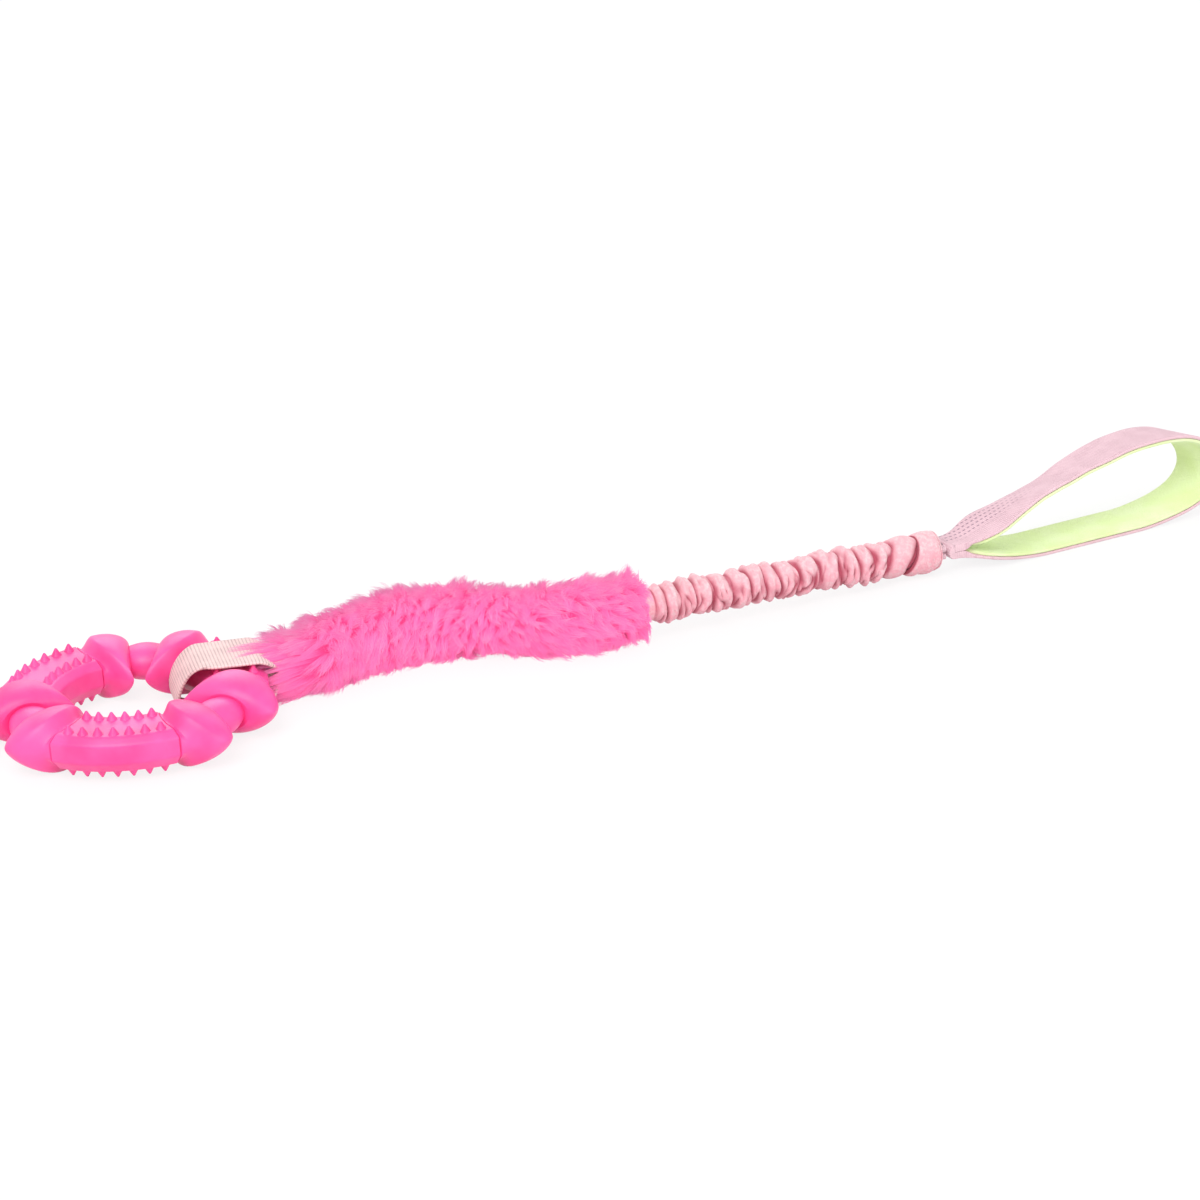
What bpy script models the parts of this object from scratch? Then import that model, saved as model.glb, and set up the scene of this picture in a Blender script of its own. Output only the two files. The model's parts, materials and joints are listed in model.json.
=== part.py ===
"""Bungee tug toy: a chew ring on a webbing strap, a faux-fur tube, a gathered bungee sleeve and a hand loop.

Metres, +Z up. The toy lies on the plane Z = 0 as it is put down, and +X runs from the ring to the hand loop.
It is laid out with the ring's centre at X = 0 and then shifted, so that the origin is the middle of its footprint.
"""
import math

import bmesh
import bpy
from mathutils import Matrix, Vector
from mathutils.geometry import interpolate_bezier

# Clearances
GAP = 0.0003
HINGE_GAP = 0.0005

# Chew ring: one rubber moulding of three bones, each a spiky shaft between two flared rims, joined by necks
# Ends of the shaft, of the flare and of the domed face are given along the ring at its top, outer and inner side
RING_RADIUS = 0.0415
RING_SIDE_STEP = 0.0249
BONES = 3
BONE_TURN = math.radians(4.4)
RIM_HALF_WIDTH = 0.0195
RIM_HALF_HEIGHT = 0.0124
RIM_WIDTH = 0.0012
RIM_ENDS = (0.0235, 0.0315, 0.0380)
FOOT_DEPTH = 0.0003
SHAFT_HALF_WIDTH = 0.0127
SHAFT_HALF_HEIGHT = 0.0083
SHAFT_SQUARENESS = 2.5
SHAFT_ENDS = (0.0185, 0.0200, 0.0205)
CREASE_DEPTH = 0.0004
NECK_HALF_WIDTH = 0.0080
NECK_HALF_HEIGHT = 0.0058
NECK_START = 0.0365
FACE_CREST = 0.0372
SPIKE_BASE_HEIGHT = 0.0050
SPIKE_BASE_RADIUS = 0.0024
SPIKE_TIP_RADIUS = 0.00035
SPIKE_ROWS = ((0.0072, 7, 0.0052), (-0.0072, 6, 0.0063))
SPIKE_SIDES = 6
RING_SIDES = 20

# Strap loop round one bone, and its two tails, which run through the fur tube
STRAP_WIDTH = 0.0200
STRAP_THICKNESS = 0.0013
STRAP_TURN = math.radians(-10.0)
STRAP_SIDE_STEP = -0.0015
STRAP_BACK_REACH = 0.0195
STRAP_SHOULDER_REACH = 0.0110
STRAP_FRONT_REACH = 0.0100
STRAP_SHOULDER_PULL = 0.0052
STRAP_BACK_PULL = 0.0065
STRAP_FRONT_PULL = 0.0050
THROAT_REACH = 0.0225
THROAT_RISE = 0.0020
THROAT_PULL = 0.0040
THROAT_SPREAD = 0.0002
PLY_GAP = 0.0006
TAIL_CLEARANCE = 0.0007

# Faux-fur tube
FUR_RADII = (0.0130, 0.0152, 0.0158, 0.0162, 0.0170, 0.0172, 0.0160, 0.0150, 0.0146, 0.0156, 0.0162, 0.0150, 0.0132)
FUR_START_GAP = 0.0024
FUR_END_LIP = 0.0015
FUR_SECTIONS = 26
FUR_SIDES = 18
FUR_WAY_POINTS = ((0.0930, 0.0295), (0.1220, 0.0320), (0.1480, 0.0230), (0.1730, 0.0080), (0.1950, 0.0015))
FUR_BORE_CLEARANCE = 0.0012
FUR_BORE_RUN_OUT = 0.0010
FUR_BORE_END = 0.0040
SOCKET_CLEARANCE = 0.0014
SOCKET_MOUTH_FLARE = 0.0012

# Bungee sleeve, its elastic cord and its end cuff, along an axis that drops from the fur tube to the cuff
BUNGEE_START = (0.2155, 0.0, 0.0143)
BUNGEE_DROP = math.radians(1.9)
SLEEVE_NOSE_RADIUS = 0.0074
SLEEVE_CREST_RADIUS = 0.0087
SLEEVE_VALLEY_RADIUS = 0.0068
SLEEVE_CREST_SPREAD = 0.0004
SLEEVE_PLAIN_LENGTH = 0.0056
SLEEVE_LENGTH = 0.1340
RUFFLE_SHARES = (
    0.0689, 0.1213, 0.1878, 0.2504, 0.3239, 0.3756, 0.4343, 0.4898, 0.5634, 0.6479, 0.7254, 0.7879, 0.8545, 0.9194,
    0.9750)
SLEEVE_SIDES = 16
CORD_RADIUS = 0.0040
CORD_INSET = 0.0025
CORD_SIDES = 12
CUFF_OVERLAP = 0.0062
CUFF_LENGTH = 0.0087
CUFF_RADIUS = 0.0086
CUFF_WALL = 0.0013
CUFF_HEM = 0.0004

# Hand loop: webbing outside, a soft lining inside, both closing at the neck behind the cuff
# The points are the middle line of the webbing, beyond the neck and above the floor
NECK_LENGTH = 0.00475
NECK_PLY_WIDTH = 0.0120
LOOP_WIDTH = 0.0250
LOOP_NECK_WIDTH = 0.0140
LOOP_TAPER_LENGTH = 0.0200
WEBBING_THICKNESS = 0.0015
LINING_THICKNESS = 0.0013
LINING_WIDTH_SHARE = 0.985
LINING_START = 0.0005
LOOP_TURN = math.radians(2.4)
LOOP_UPPER_POINTS = (
    (0.0080, 0.0128), (0.0150, 0.0151), (0.0250, 0.0193), (0.0410, 0.0258), (0.0550, 0.0300), (0.0660, 0.0336),
    (0.0850, 0.0378), (0.0970, 0.0392), (0.1070, 0.0392), (0.1170, 0.0376), (0.1250, 0.0340), (0.1303, 0.0288),
    (0.1330, 0.0220), (0.1317, 0.0144), (0.1265, 0.0086), (0.1178, 0.0047), (0.1060, 0.0021))
LOOP_FLOOR_ENDS = (0.0930, 0.0440)
LOOP_LOWER_POINTS = ((0.0290, 0.0021), (0.0160, 0.0048), (0.0080, 0.0064))
LOOP_STEPS = 3
NECK_TURN_STEPS = 6

# Sewing
THREAD_WIDTH = 0.0008
THREAD_THICKNESS = 0.0005
THREAD_VALLEY = 0.0003
TAIL_TACK = (0.0024, 15)
NECK_TACK = (0.0020, 10)
TACK_INSET = 0.0100

# Colours, roughness
FINISHES = {
    "rubber": ((1.0, 0.09, 0.38, 1.0), 0.42),
    "strap_webbing": ((0.91, 0.66, 0.66, 1.0), 0.75),
    "faux_fur": ((1.0, 0.16, 0.45, 1.0), 0.90),
    "sleeve_fabric": ((0.90, 0.42, 0.48, 1.0), 0.85),
    "elastic": ((0.85, 0.80, 0.78, 1.0), 0.70),
    "loop_webbing": ((0.82, 0.56, 0.62, 1.0), 0.80),
    "loop_lining": ((0.80, 0.93, 0.42, 1.0), 0.85),
    "thread": ((0.30, 0.22, 0.25, 1.0), 0.80),
}

# Sizes that follow from the ones above
RING_HEIGHT = RIM_HALF_HEIGHT - FOOT_DEPTH
SPIKE_REACH = RING_HEIGHT - STRAP_THICKNESS - GAP
STRAP_HALF_HEIGHT = SPIKE_REACH + GAP + STRAP_THICKNESS / 2
PLY_OFFSET = (PLY_GAP + STRAP_THICKNESS) / 2
THROAT_RADIUS = PLY_OFFSET + STRAP_THICKNESS / 2
TAIL_START = THROAT_RADIUS + TAIL_CLEARANCE
TAIL_END = SLEEVE_NOSE_RADIUS + GAP
SOCKET_RADIUS = SLEEVE_NOSE_RADIUS + SOCKET_CLEARANCE
BORE_RADIUS = CORD_RADIUS + GAP
CUFF_START = SLEEVE_LENGTH - CUFF_OVERLAP
CUFF_END = CUFF_START + CUFF_LENGTH
RUFFLE_CRESTS = [share * CUFF_START for share in RUFFLE_SHARES]
NECK_RADIUS = WEBBING_THICKNESS + GAP + LINING_THICKNESS + GAP / 2
NECK_START_REACH = SLEEVE_LENGTH + HINGE_GAP
NECK_END_REACH = NECK_START_REACH + NECK_LENGTH
NECK_REACH = NECK_END_REACH + HINGE_GAP + NECK_RADIUS
NECK_HEIGHT = BUNGEE_START[2] - NECK_REACH * math.sin(BUNGEE_DROP)


def clear_scene():
    """Remove every object that is in the scene."""
    for item in list(bpy.data.objects):
        bpy.data.objects.remove(item, do_unlink=True)


def finish(name):
    """Principled material of a named finish."""
    found = bpy.data.materials.get(name)
    if found:
        return found
    colour, roughness = FINISHES[name]
    material = bpy.data.materials.new(name)
    material.use_nodes = True
    shader = material.node_tree.nodes["Principled BSDF"]
    shader.inputs["Base Color"].default_value = colour
    shader.inputs["Roughness"].default_value = roughness
    shader.inputs["Metallic"].default_value = 0.0
    material.diffuse_color = colour
    return material


def axes(name, location, turn=(0.0, 0.0, 0.0), parent=None):
    """Axes that a moving section hangs on, at its joint."""
    pivot = bpy.data.objects.new(name, None)
    pivot.location = location
    pivot.rotation_euler = turn
    pivot.parent = parent
    pivot.hide_render = True
    bpy.context.collection.objects.link(pivot)
    return pivot


def add_object(name, bm, finish_name, parent, crease_angle=35.0):
    """Turn a bmesh into a named, smooth shaded object under its section's axes."""
    bmesh.ops.recalc_face_normals(bm, faces=bm.faces)
    mesh = bpy.data.meshes.new(name)
    bm.to_mesh(mesh)
    bm.free()
    mesh.shade_smooth()
    mesh.set_sharp_from_angle(angle=math.radians(crease_angle))
    mesh.materials.append(finish(finish_name))
    item = bpy.data.objects.new(name, mesh)
    item.parent = parent
    bpy.context.collection.objects.link(item)
    return item


def as_helper(item):
    """Mark a cutter or a joined-in shape, which is no piece by itself."""
    item.hide_render = True
    item.display_type = "WIRE"
    return item


def boolean(item, other, operation):
    """Add an exact Boolean with a helper object."""
    modifier = item.modifiers.new(operation.title(), "BOOLEAN")
    modifier.operation = operation
    modifier.solver = "EXACT"
    modifier.object = as_helper(other)


def oval(half_width, half_height, sides, squareness=2.0):
    """Points of an oval section, from a true ellipse at 2 towards a rectangle at higher squareness."""
    points = []
    for side in range(sides):
        angle = 2 * math.pi * side / sides
        across, up = math.cos(angle), math.sin(angle)
        points.append((
            half_width * math.copysign(abs(across) ** (2 / squareness), across),
            half_height * math.copysign(abs(up) ** (2 / squareness), up)))
    return points


def loft(bm, sections, closed=False):
    """Join rings of points into a tube by extruding each ring to the next; closed joins the last to the first."""
    ring = [bm.verts.new(point) for point in sections[0]]
    edges = [bm.edges.new((ring[i - 1], ring[i])) for i in range(len(ring))]
    first_edges = edges
    for section in sections[1:]:
        extruded = bmesh.ops.extrude_edge_only(bm, edges=edges)["geom"]
        fresh = {part for part in extruded if isinstance(part, bmesh.types.BMVert)}
        ring = [next(e.other_vert(v) for e in v.link_edges if e.other_vert(v) in fresh) for v in ring]
        for vert, point in zip(ring, section):
            vert.co = point
        edges = [bm.edges.get((ring[i - 1], ring[i])) for i in range(len(ring))]
    if closed:
        bmesh.ops.bridge_loops(bm, edges=first_edges + edges)
    else:
        bmesh.ops.holes_fill(bm, edges=first_edges + edges, sides=0)


def lathe(bm, profile, sides, closed=False):
    """Round tube along local X through a profile of (distance, radius) pairs."""
    loft(bm, [[Vector((along, *point)) for point in oval(radius, radius, sides)] for along, radius in profile],
         closed)


def blend(start, end, share):
    """Value between start and end, eased at both of them."""
    eased = share * share * (3 - 2 * share)
    return start + (end - start) * eased


def bezier_route(knots, steps):
    """Smooth route through knots, each a point with its heading vector, which sets the pull of its handles."""
    route = []
    for (start, pull_out), (end, pull_in) in zip(knots, knots[1:]):
        points = interpolate_bezier(start, start + pull_out, end - pull_in, end, steps + 1)
        route.extend(points[:-1])
    route.append(knots[-1][0])
    return [Vector(point) for point in route]


def smooth_route(points, first_heading, last_heading, steps):
    """Smooth route through points, with a unit heading at its first and its last one."""
    knots = [(points[0], first_heading * (points[1] - points[0]).length / 3)]
    for before, point, after in zip(points, points[1:], points[2:]):
        reach = min((after - point).length, (point - before).length)
        knots.append((point, (after - before).normalized() * reach / 3))
    knots.append((points[-1], last_heading * (points[-1] - points[-2]).length / 3))
    return bezier_route(knots, steps)


def normals_in_plane(route, closed):
    """Unit normals of a route drawn in the XZ plane, on the left of its direction."""
    count = len(route)
    normals = []
    for i in range(count):
        before = route[i - 1] if closed or i else route[0]
        after = route[(i + 1) % count] if closed or i < count - 1 else route[-1]
        along = (after - before).normalized()
        normals.append(Vector((-along.z, 0, along.x)))
    return normals


def band(bm, route, offsets, half_width, closed):
    """Flat strip along a route in the XZ plane, between two offsets from it, with half_width(point) to each side."""
    sections = []
    for point, normal in zip(route, normals_in_plane(route, closed)):
        low, high = (point + normal * offset for offset in offsets)
        side = Vector((0, half_width(point), 0))
        sections.append((low - side, low + side, high + side, high - side))
    loft(bm, sections, closed)


def ring_profile():
    """Sections of half a bone from its middle: three distances along the ring, half width, half height, squareness."""
    rows = []
    for share in (0.0, 0.25, 0.5, 0.75, 0.97):
        rows.append(([end * share for end in SHAFT_ENDS], SHAFT_HALF_WIDTH, SHAFT_HALF_HEIGHT, SHAFT_SQUARENESS))
    rows.append((SHAFT_ENDS, SHAFT_HALF_WIDTH - CREASE_DEPTH, SHAFT_HALF_HEIGHT - CREASE_DEPTH, 2.3))
    for share in (0.25, 0.5, 0.75, 1.0):
        rows.append((
            [start + (end - start) * share for start, end in zip(SHAFT_ENDS, RIM_ENDS)],
            blend(SHAFT_HALF_WIDTH, RIM_HALF_WIDTH, share),
            blend(SHAFT_HALF_HEIGHT, RIM_HALF_HEIGHT, share), 2.0))
    for turn in (0, 25, 50, 74):
        angle = math.radians(turn)
        rows.append((
            [end + RIM_WIDTH + (FACE_CREST - end - RIM_WIDTH) * math.sin(angle) for end in RIM_ENDS],
            NECK_HALF_WIDTH + (RIM_HALF_WIDTH - NECK_HALF_WIDTH) * math.cos(angle),
            NECK_HALF_HEIGHT + (RIM_HALF_HEIGHT - NECK_HALF_HEIGHT) * math.cos(angle), 2.0))
    rows.append(([NECK_START] * 3, NECK_HALF_WIDTH, NECK_HALF_HEIGHT, 2.0))
    rows.append(([math.pi * RING_RADIUS / BONES] * 3, NECK_HALF_WIDTH, NECK_HALF_HEIGHT, 2.0))
    return rows


def ring_section(middle, side, row):
    """One section of the ring: its points lie further along the ring at its outer and inner side than at its top."""
    (top, outer, inner), half_width, half_height, squareness = row
    points = []
    for across, up in oval(half_width, half_height, RING_SIDES, squareness):
        lean = (across / half_width) ** 2
        along = top + ((outer if across > 0 else inner) - top) * lean
        angle = middle + side * along / RING_RADIUS
        points.append(Vector((
            (RING_RADIUS + across) * math.cos(angle), (RING_RADIUS + across) * math.sin(angle), up)))
    return points


def build_ring(parent):
    """Chew ring: the three bones lofted in one round, its spikes joined on, and its feet cut flat."""
    rows = ring_profile()
    sections = []
    for bone in range(BONES):
        middle = BONE_TURN + 2 * math.pi / BONES * bone
        sections.extend(ring_section(middle, -1, row) for row in reversed(rows[1:-1]))
        sections.extend(ring_section(middle, 1, row) for row in rows)
    bm = bmesh.new()
    loft(bm, sections, closed=True)
    ring = add_object("chew_ring", bm, "rubber", parent)
    boolean(ring, build_spikes(parent), "UNION")
    floor_cut = bmesh.new()
    bmesh.ops.create_cube(floor_cut, size=1.0, matrix=Matrix.LocRotScale(
        Vector((0, 0, -RING_HEIGHT - RIM_HALF_HEIGHT / 2)), None,
        Vector((4 * RING_RADIUS, 4 * RING_RADIUS, RIM_HALF_HEIGHT))))
    boolean(ring, add_object("ring_floor_cut", floor_cut, "rubber", parent), "DIFFERENCE")


def build_spikes(parent):
    """Cones on the shafts, in two rows above and two below."""
    bm = bmesh.new()
    for bone in range(BONES):
        middle = BONE_TURN + 2 * math.pi / BONES * bone
        for offset, count, pitch in SPIKE_ROWS:
            for spike in range(count):
                angle = middle + (spike - (count - 1) / 2) * pitch / RING_RADIUS
                place = Vector((math.cos(angle), math.sin(angle), 0)) * (RING_RADIUS + offset)
                for side in (1, -1):
                    rise = Vector((0, 0, side * (SPIKE_REACH + SPIKE_BASE_HEIGHT) / 2))
                    turn = Matrix.Rotation(0 if side > 0 else math.pi, 4, "X")
                    bmesh.ops.create_cone(
                        bm, cap_ends=True, segments=SPIKE_SIDES, radius1=SPIKE_BASE_RADIUS,
                        radius2=SPIKE_TIP_RADIUS, depth=SPIKE_REACH - SPIKE_BASE_HEIGHT,
                        matrix=Matrix.Translation(place + rise) @ turn)
    return add_object("ring_spikes", bm, "rubber", parent)


def strap_route():
    """Middle line of the strap loop in its own upright plane, from the throat over the bone and back."""
    rise = Vector((0, 0, STRAP_HALF_HEIGHT))
    bone = Vector((-THROAT_REACH, 0, -THROAT_RISE))
    ply = Vector((0, 0, PLY_OFFSET))
    knots = [
        (ply, Vector((-THROAT_PULL, 0, THROAT_SPREAD))),
        (bone + Vector((STRAP_FRONT_REACH, 0, 0)) + rise, Vector((-STRAP_FRONT_PULL, 0, 0))),
        (bone - Vector((STRAP_SHOULDER_REACH, 0, 0)) + rise, Vector((-STRAP_SHOULDER_PULL, 0, 0))),
        (bone - Vector((STRAP_BACK_REACH, 0, 0)), Vector((0, 0, -STRAP_BACK_PULL))),
        (bone - Vector((STRAP_SHOULDER_REACH, 0, 0)) - rise, Vector((STRAP_SHOULDER_PULL, 0, 0))),
        (bone + Vector((STRAP_FRONT_REACH, 0, 0)) - rise, Vector((STRAP_FRONT_PULL, 0, 0))),
        (-ply, Vector((THROAT_PULL, 0, THROAT_SPREAD))),
    ]
    route = bezier_route(knots, 5)
    for turn in (-45, 0, 45):
        angle = math.radians(turn)
        route.append(Vector((PLY_OFFSET * math.cos(angle), 0, PLY_OFFSET * math.sin(angle))))
    return route


def build_strap(parent):
    """Strap loop round the bone, with its plies pinched at the throat, where it bends."""
    bm = bmesh.new()
    half = STRAP_THICKNESS / 2
    band(bm, strap_route(), (-half, half), lambda point: STRAP_WIDTH / 2, closed=True)
    add_object("ring_strap", bm, "strap_webbing", parent)


def fur_route(throat):
    """Middle line of the fur tube, from the strap's throat in one easy wave to the bungee's start."""
    start = Vector(BUNGEE_START)
    points = [throat] + [Vector((x, y, start.z)) for x, y in FUR_WAY_POINTS] + [start]
    heading = Vector((math.cos(STRAP_TURN), math.sin(STRAP_TURN), 0))
    return smooth_route(points, heading, Vector((1, 0, 0)), 12)


def stations(route, start, end, count):
    """Even stations along a route between two distances from its ends: point, unit direction, share."""
    lengths = [0.0]
    for before, after in zip(route, route[1:]):
        lengths.append(lengths[-1] + (after - before).length)
    found = []
    for i in range(count):
        share = i / (count - 1)
        target = start + (lengths[-1] - end - start) * share
        step = next((k for k, length in enumerate(lengths) if k and length >= target), len(lengths) - 1)
        part = (target - lengths[step - 1]) / (lengths[step] - lengths[step - 1])
        along = (route[step] - route[step - 1]).normalized()
        found.append((route[step - 1].lerp(route[step], part), along, share))
    return found


def tube_section(point, along, outline):
    """Outline set square to a level route: its first number to the side, its second up."""
    side = Vector((-along.y, along.x, 0)).normalized()
    return [point + side * across + Vector((0, 0, up)) for across, up in outline]


def table_value(table, share):
    """Value at a share of the way along an evenly spaced table."""
    place = share * (len(table) - 1)
    index = min(int(place), len(table) - 2)
    return blend(table[index], table[index + 1], place - index)


def build_fur(route, parent):
    """Faux-fur tube with its swells, flat on the floor, a slot for the tails and a socket for the sleeve."""
    sections = []
    for point, along, share in stations(route, FUR_START_GAP, -FUR_END_LIP, FUR_SECTIONS):
        radius = table_value(FUR_RADII, share)
        section = tube_section(point, along, oval(radius, radius, FUR_SIDES))
        sections.append([Vector((p.x, p.y, max(p.z, 0.0))) for p in section])
    bm = bmesh.new()
    loft(bm, sections)
    fur = add_object("fur_sleeve", bm, "faux_fur", parent, crease_angle=50.0)
    slot = bmesh.new()
    outline = oval(STRAP_WIDTH / 2 + FUR_BORE_CLEARANCE, THROAT_RADIUS + FUR_BORE_CLEARANCE, 16, 5.0)
    loft(slot, [tube_section(point, along, outline) for point, along, _ in
                stations(route, -FUR_BORE_RUN_OUT, FUR_BORE_END, 20)])
    boolean(fur, add_object("fur_slot_cut", slot, "faux_fur", parent), "DIFFERENCE")
    socket = bmesh.new()
    profile = [(-SOCKET_RADIUS * math.sin(math.radians(turn)), SOCKET_RADIUS * math.cos(math.radians(turn)))
               for turn in (80, 60, 40, 20, 0)]
    lathe(socket, profile + [(2 * FUR_END_LIP, SOCKET_RADIUS + SOCKET_MOUTH_FLARE)], SLEEVE_SIDES)
    bmesh.ops.translate(socket, verts=socket.verts, vec=Vector(BUNGEE_START))
    boolean(fur, add_object("fur_socket_cut", socket, "faux_fur", parent), "DIFFERENCE")


def build_tails(route, heading, parent):
    """Two tails of the strap inside the fur tube, one on the other, and square to the strap at the throat."""
    places = stations(route, TAIL_START, TAIL_END, 24)
    places[0] = (places[0][0], heading, 0.0)
    for name, side in (("strap_tail_upper", 1), ("strap_tail_lower", -1)):
        low, high = (side * PLY_OFFSET - STRAP_THICKNESS / 2, side * PLY_OFFSET + STRAP_THICKNESS / 2)
        half = STRAP_WIDTH / 2
        outline = ((-half, low), (half, low), (half, high), (-half, high))
        bm = bmesh.new()
        loft(bm, [tube_section(point, along, outline) for point, along, _ in places])
        add_object(name, bm, "strap_webbing", parent)


def build_tack(name, parent, place, turn, pattern):
    """Bar of close stitches across a strap: its middle, its turn about Z, and a pattern of width and stitches."""
    width, stitches = pattern
    half = stitches * THREAD_WIDTH / 2
    outline = [(half, 0.0), (-half, 0.0), (-half, THREAD_VALLEY)]
    for stitch in range(stitches):
        outline.append(((stitch + 0.5) * THREAD_WIDTH - half, THREAD_THICKNESS))
        outline.append(((stitch + 1) * THREAD_WIDTH - half, THREAD_VALLEY))
    bm = bmesh.new()
    loft(bm, [[Vector((x, *point)) for point in outline] for x in (-width / 2, width / 2)])
    bmesh.ops.transform(bm, verts=bm.verts, matrix=Matrix.Translation(place) @ Matrix.Rotation(turn, 4, "Z"))
    add_object(name, bm, "thread", parent)


def build_tail_tacks(route, parent):
    """Bar tacks through the tails, near the throat and near the bungee."""
    ends = stations(route, TAIL_START + TACK_INSET, TAIL_END + TACK_INSET, 2)
    for name, (point, along, _) in zip(("strap_bar_tack", "bungee_bar_tack"), ends):
        place = point + Vector((0, 0, THROAT_RADIUS + GAP))
        build_tack(name, parent, place, math.atan2(along.y, along.x), TAIL_TACK)


def sleeve_profile():
    """Distances and radii along the bungee sleeve: round nose, plain start, ruffles, plain end inside the cuff."""
    profile = [(-SLEEVE_NOSE_RADIUS * math.sin(math.radians(turn)), SLEEVE_NOSE_RADIUS * math.cos(math.radians(turn)))
               for turn in (75, 50, 25, 0)]
    profile.append((SLEEVE_PLAIN_LENGTH, SLEEVE_VALLEY_RADIUS))
    valleys = [(before + after) / 2 for before, after in zip(RUFFLE_CRESTS, RUFFLE_CRESTS[1:])]
    starts = [SLEEVE_PLAIN_LENGTH] + valleys
    for number, (start, crest, end) in enumerate(zip(starts, RUFFLE_CRESTS, valleys + [CUFF_START])):
        radius = SLEEVE_CREST_RADIUS + SLEEVE_CREST_SPREAD * math.sin(2.4 * number)
        shoulder = SLEEVE_VALLEY_RADIUS + (radius - SLEEVE_VALLEY_RADIUS) * 0.8
        profile.append((start + (crest - start) * 0.5, shoulder))
        profile.append((crest, radius))
        profile.append((end + (crest - end) * 0.5, shoulder))
        profile.append((end, SLEEVE_VALLEY_RADIUS))
    profile.append((SLEEVE_LENGTH, SLEEVE_VALLEY_RADIUS))
    return profile


def build_bungee(parent):
    """Gathered sleeve with a bore for the elastic cord, and the cord."""
    bm = bmesh.new()
    lathe(bm, sleeve_profile(), SLEEVE_SIDES)
    sleeve = add_object("bungee_sleeve", bm, "sleeve_fabric", parent, crease_angle=60.0)
    bore = bmesh.new()
    lathe(bore, [(-CORD_INSET - GAP, BORE_RADIUS), (SLEEVE_LENGTH + HINGE_GAP, BORE_RADIUS)], CORD_SIDES)
    boolean(sleeve, add_object("sleeve_bore_cut", bore, "sleeve_fabric", parent), "DIFFERENCE")
    cord = bmesh.new()
    lathe(cord, [(-CORD_INSET, CORD_RADIUS), (SLEEVE_LENGTH, CORD_RADIUS)], CORD_SIDES)
    add_object("elastic_cord", cord, "elastic", parent)


def build_cuff(parent):
    """Cuff over the sleeve's end with a folded hem, and the sewn stack of webbing that joins it to the hand loop."""
    inner = CUFF_RADIUS - CUFF_WALL
    hem = CUFF_START + CUFF_WALL
    bm = bmesh.new()
    lathe(bm, [
        (CUFF_START, inner + GAP), (CUFF_START, CUFF_RADIUS), (CUFF_START + CUFF_HEM, CUFF_RADIUS + CUFF_HEM),
        (hem, CUFF_RADIUS + CUFF_HEM), (hem + CUFF_HEM, CUFF_RADIUS), (CUFF_END - CUFF_HEM, CUFF_RADIUS),
        (CUFF_END, CUFF_RADIUS - CUFF_HEM), (CUFF_END, inner), (hem, inner)], SLEEVE_SIDES, closed=True)
    add_object("sleeve_cuff", bm, "sleeve_fabric", parent, crease_angle=50.0)
    plies = bmesh.new()
    bmesh.ops.create_cube(plies, size=1.0, matrix=Matrix.LocRotScale(
        Vector(((NECK_START_REACH + NECK_END_REACH) / 2, 0, 0)), None,
        Vector((NECK_LENGTH, NECK_PLY_WIDTH, 2 * NECK_RADIUS))))
    add_object("neck_webbing", plies, "loop_webbing", parent)
    place = Vector((NECK_END_REACH - GAP - NECK_TACK[0] / 2, 0, NECK_RADIUS + GAP))
    build_tack("neck_bar_tack", parent, place, 0.0, NECK_TACK)


def loop_route():
    """Middle line of the hand loop's webbing round the opening, from the neck's top to its underside."""
    offset = NECK_RADIUS - WEBBING_THICKNESS / 2
    floor = [(x, WEBBING_THICKNESS / 2) for x in LOOP_FLOOR_ENDS]
    outline = list(LOOP_UPPER_POINTS) + floor + list(LOOP_LOWER_POINTS)
    points = [Vector((0, 0, offset))]
    points += [Vector((x, 0, z - NECK_HEIGHT)) for x, z in outline]
    points += [Vector((0, 0, -offset))]
    lowest = WEBBING_THICKNESS / 2 - NECK_HEIGHT
    route = smooth_route(points, Vector((1, 0, 0)), Vector((-1, 0, 0)), LOOP_STEPS)
    return [Vector((point.x, 0, max(point.z, lowest))) for point in route]


def loop_half_width(point):
    """Half width of the hand loop's webbing, which narrows towards the neck."""
    share = min(max(point.x / LOOP_TAPER_LENGTH, 0.0), 1.0)
    return blend(LOOP_NECK_WIDTH, LOOP_WIDTH, share) / 2


def build_hand_loop(parent):
    """Hand loop: webbing that turns back round the neck, and the lining on its inside."""
    route = loop_route()
    half = WEBBING_THICKNESS / 2
    turn = []
    for step in range(1, NECK_TURN_STEPS):
        angle = math.pi * (0.5 + step / NECK_TURN_STEPS)
        turn.append(Vector((math.cos(angle), 0, -math.sin(angle))) * (NECK_RADIUS - half))
    webbing = bmesh.new()
    band(webbing, route + turn, (-half, half), loop_half_width, closed=True)
    add_object("handle_webbing", webbing, "loop_webbing", parent)
    inside = [point for point in route if point.x > LINING_START]
    lining = bmesh.new()
    band(lining, inside, (-half - GAP - LINING_THICKNESS, -half - GAP),
         lambda point: loop_half_width(point) * LINING_WIDTH_SHARE, closed=False)
    add_object("handle_lining", lining, "loop_lining", parent)


def footprint_middle():
    """Middle of the footprint of all visible pieces, at floor level."""
    depsgraph = bpy.context.evaluated_depsgraph_get()
    corners = []
    for item in bpy.data.objects:
        if item.type == "MESH" and not item.hide_render:
            shown = item.evaluated_get(depsgraph)
            corners += [shown.matrix_world @ vert.co for vert in shown.data.vertices]
    return Vector([(min(c[i] for c in corners) + max(c[i] for c in corners)) / 2 for i in range(2)] + [0.0])


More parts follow.
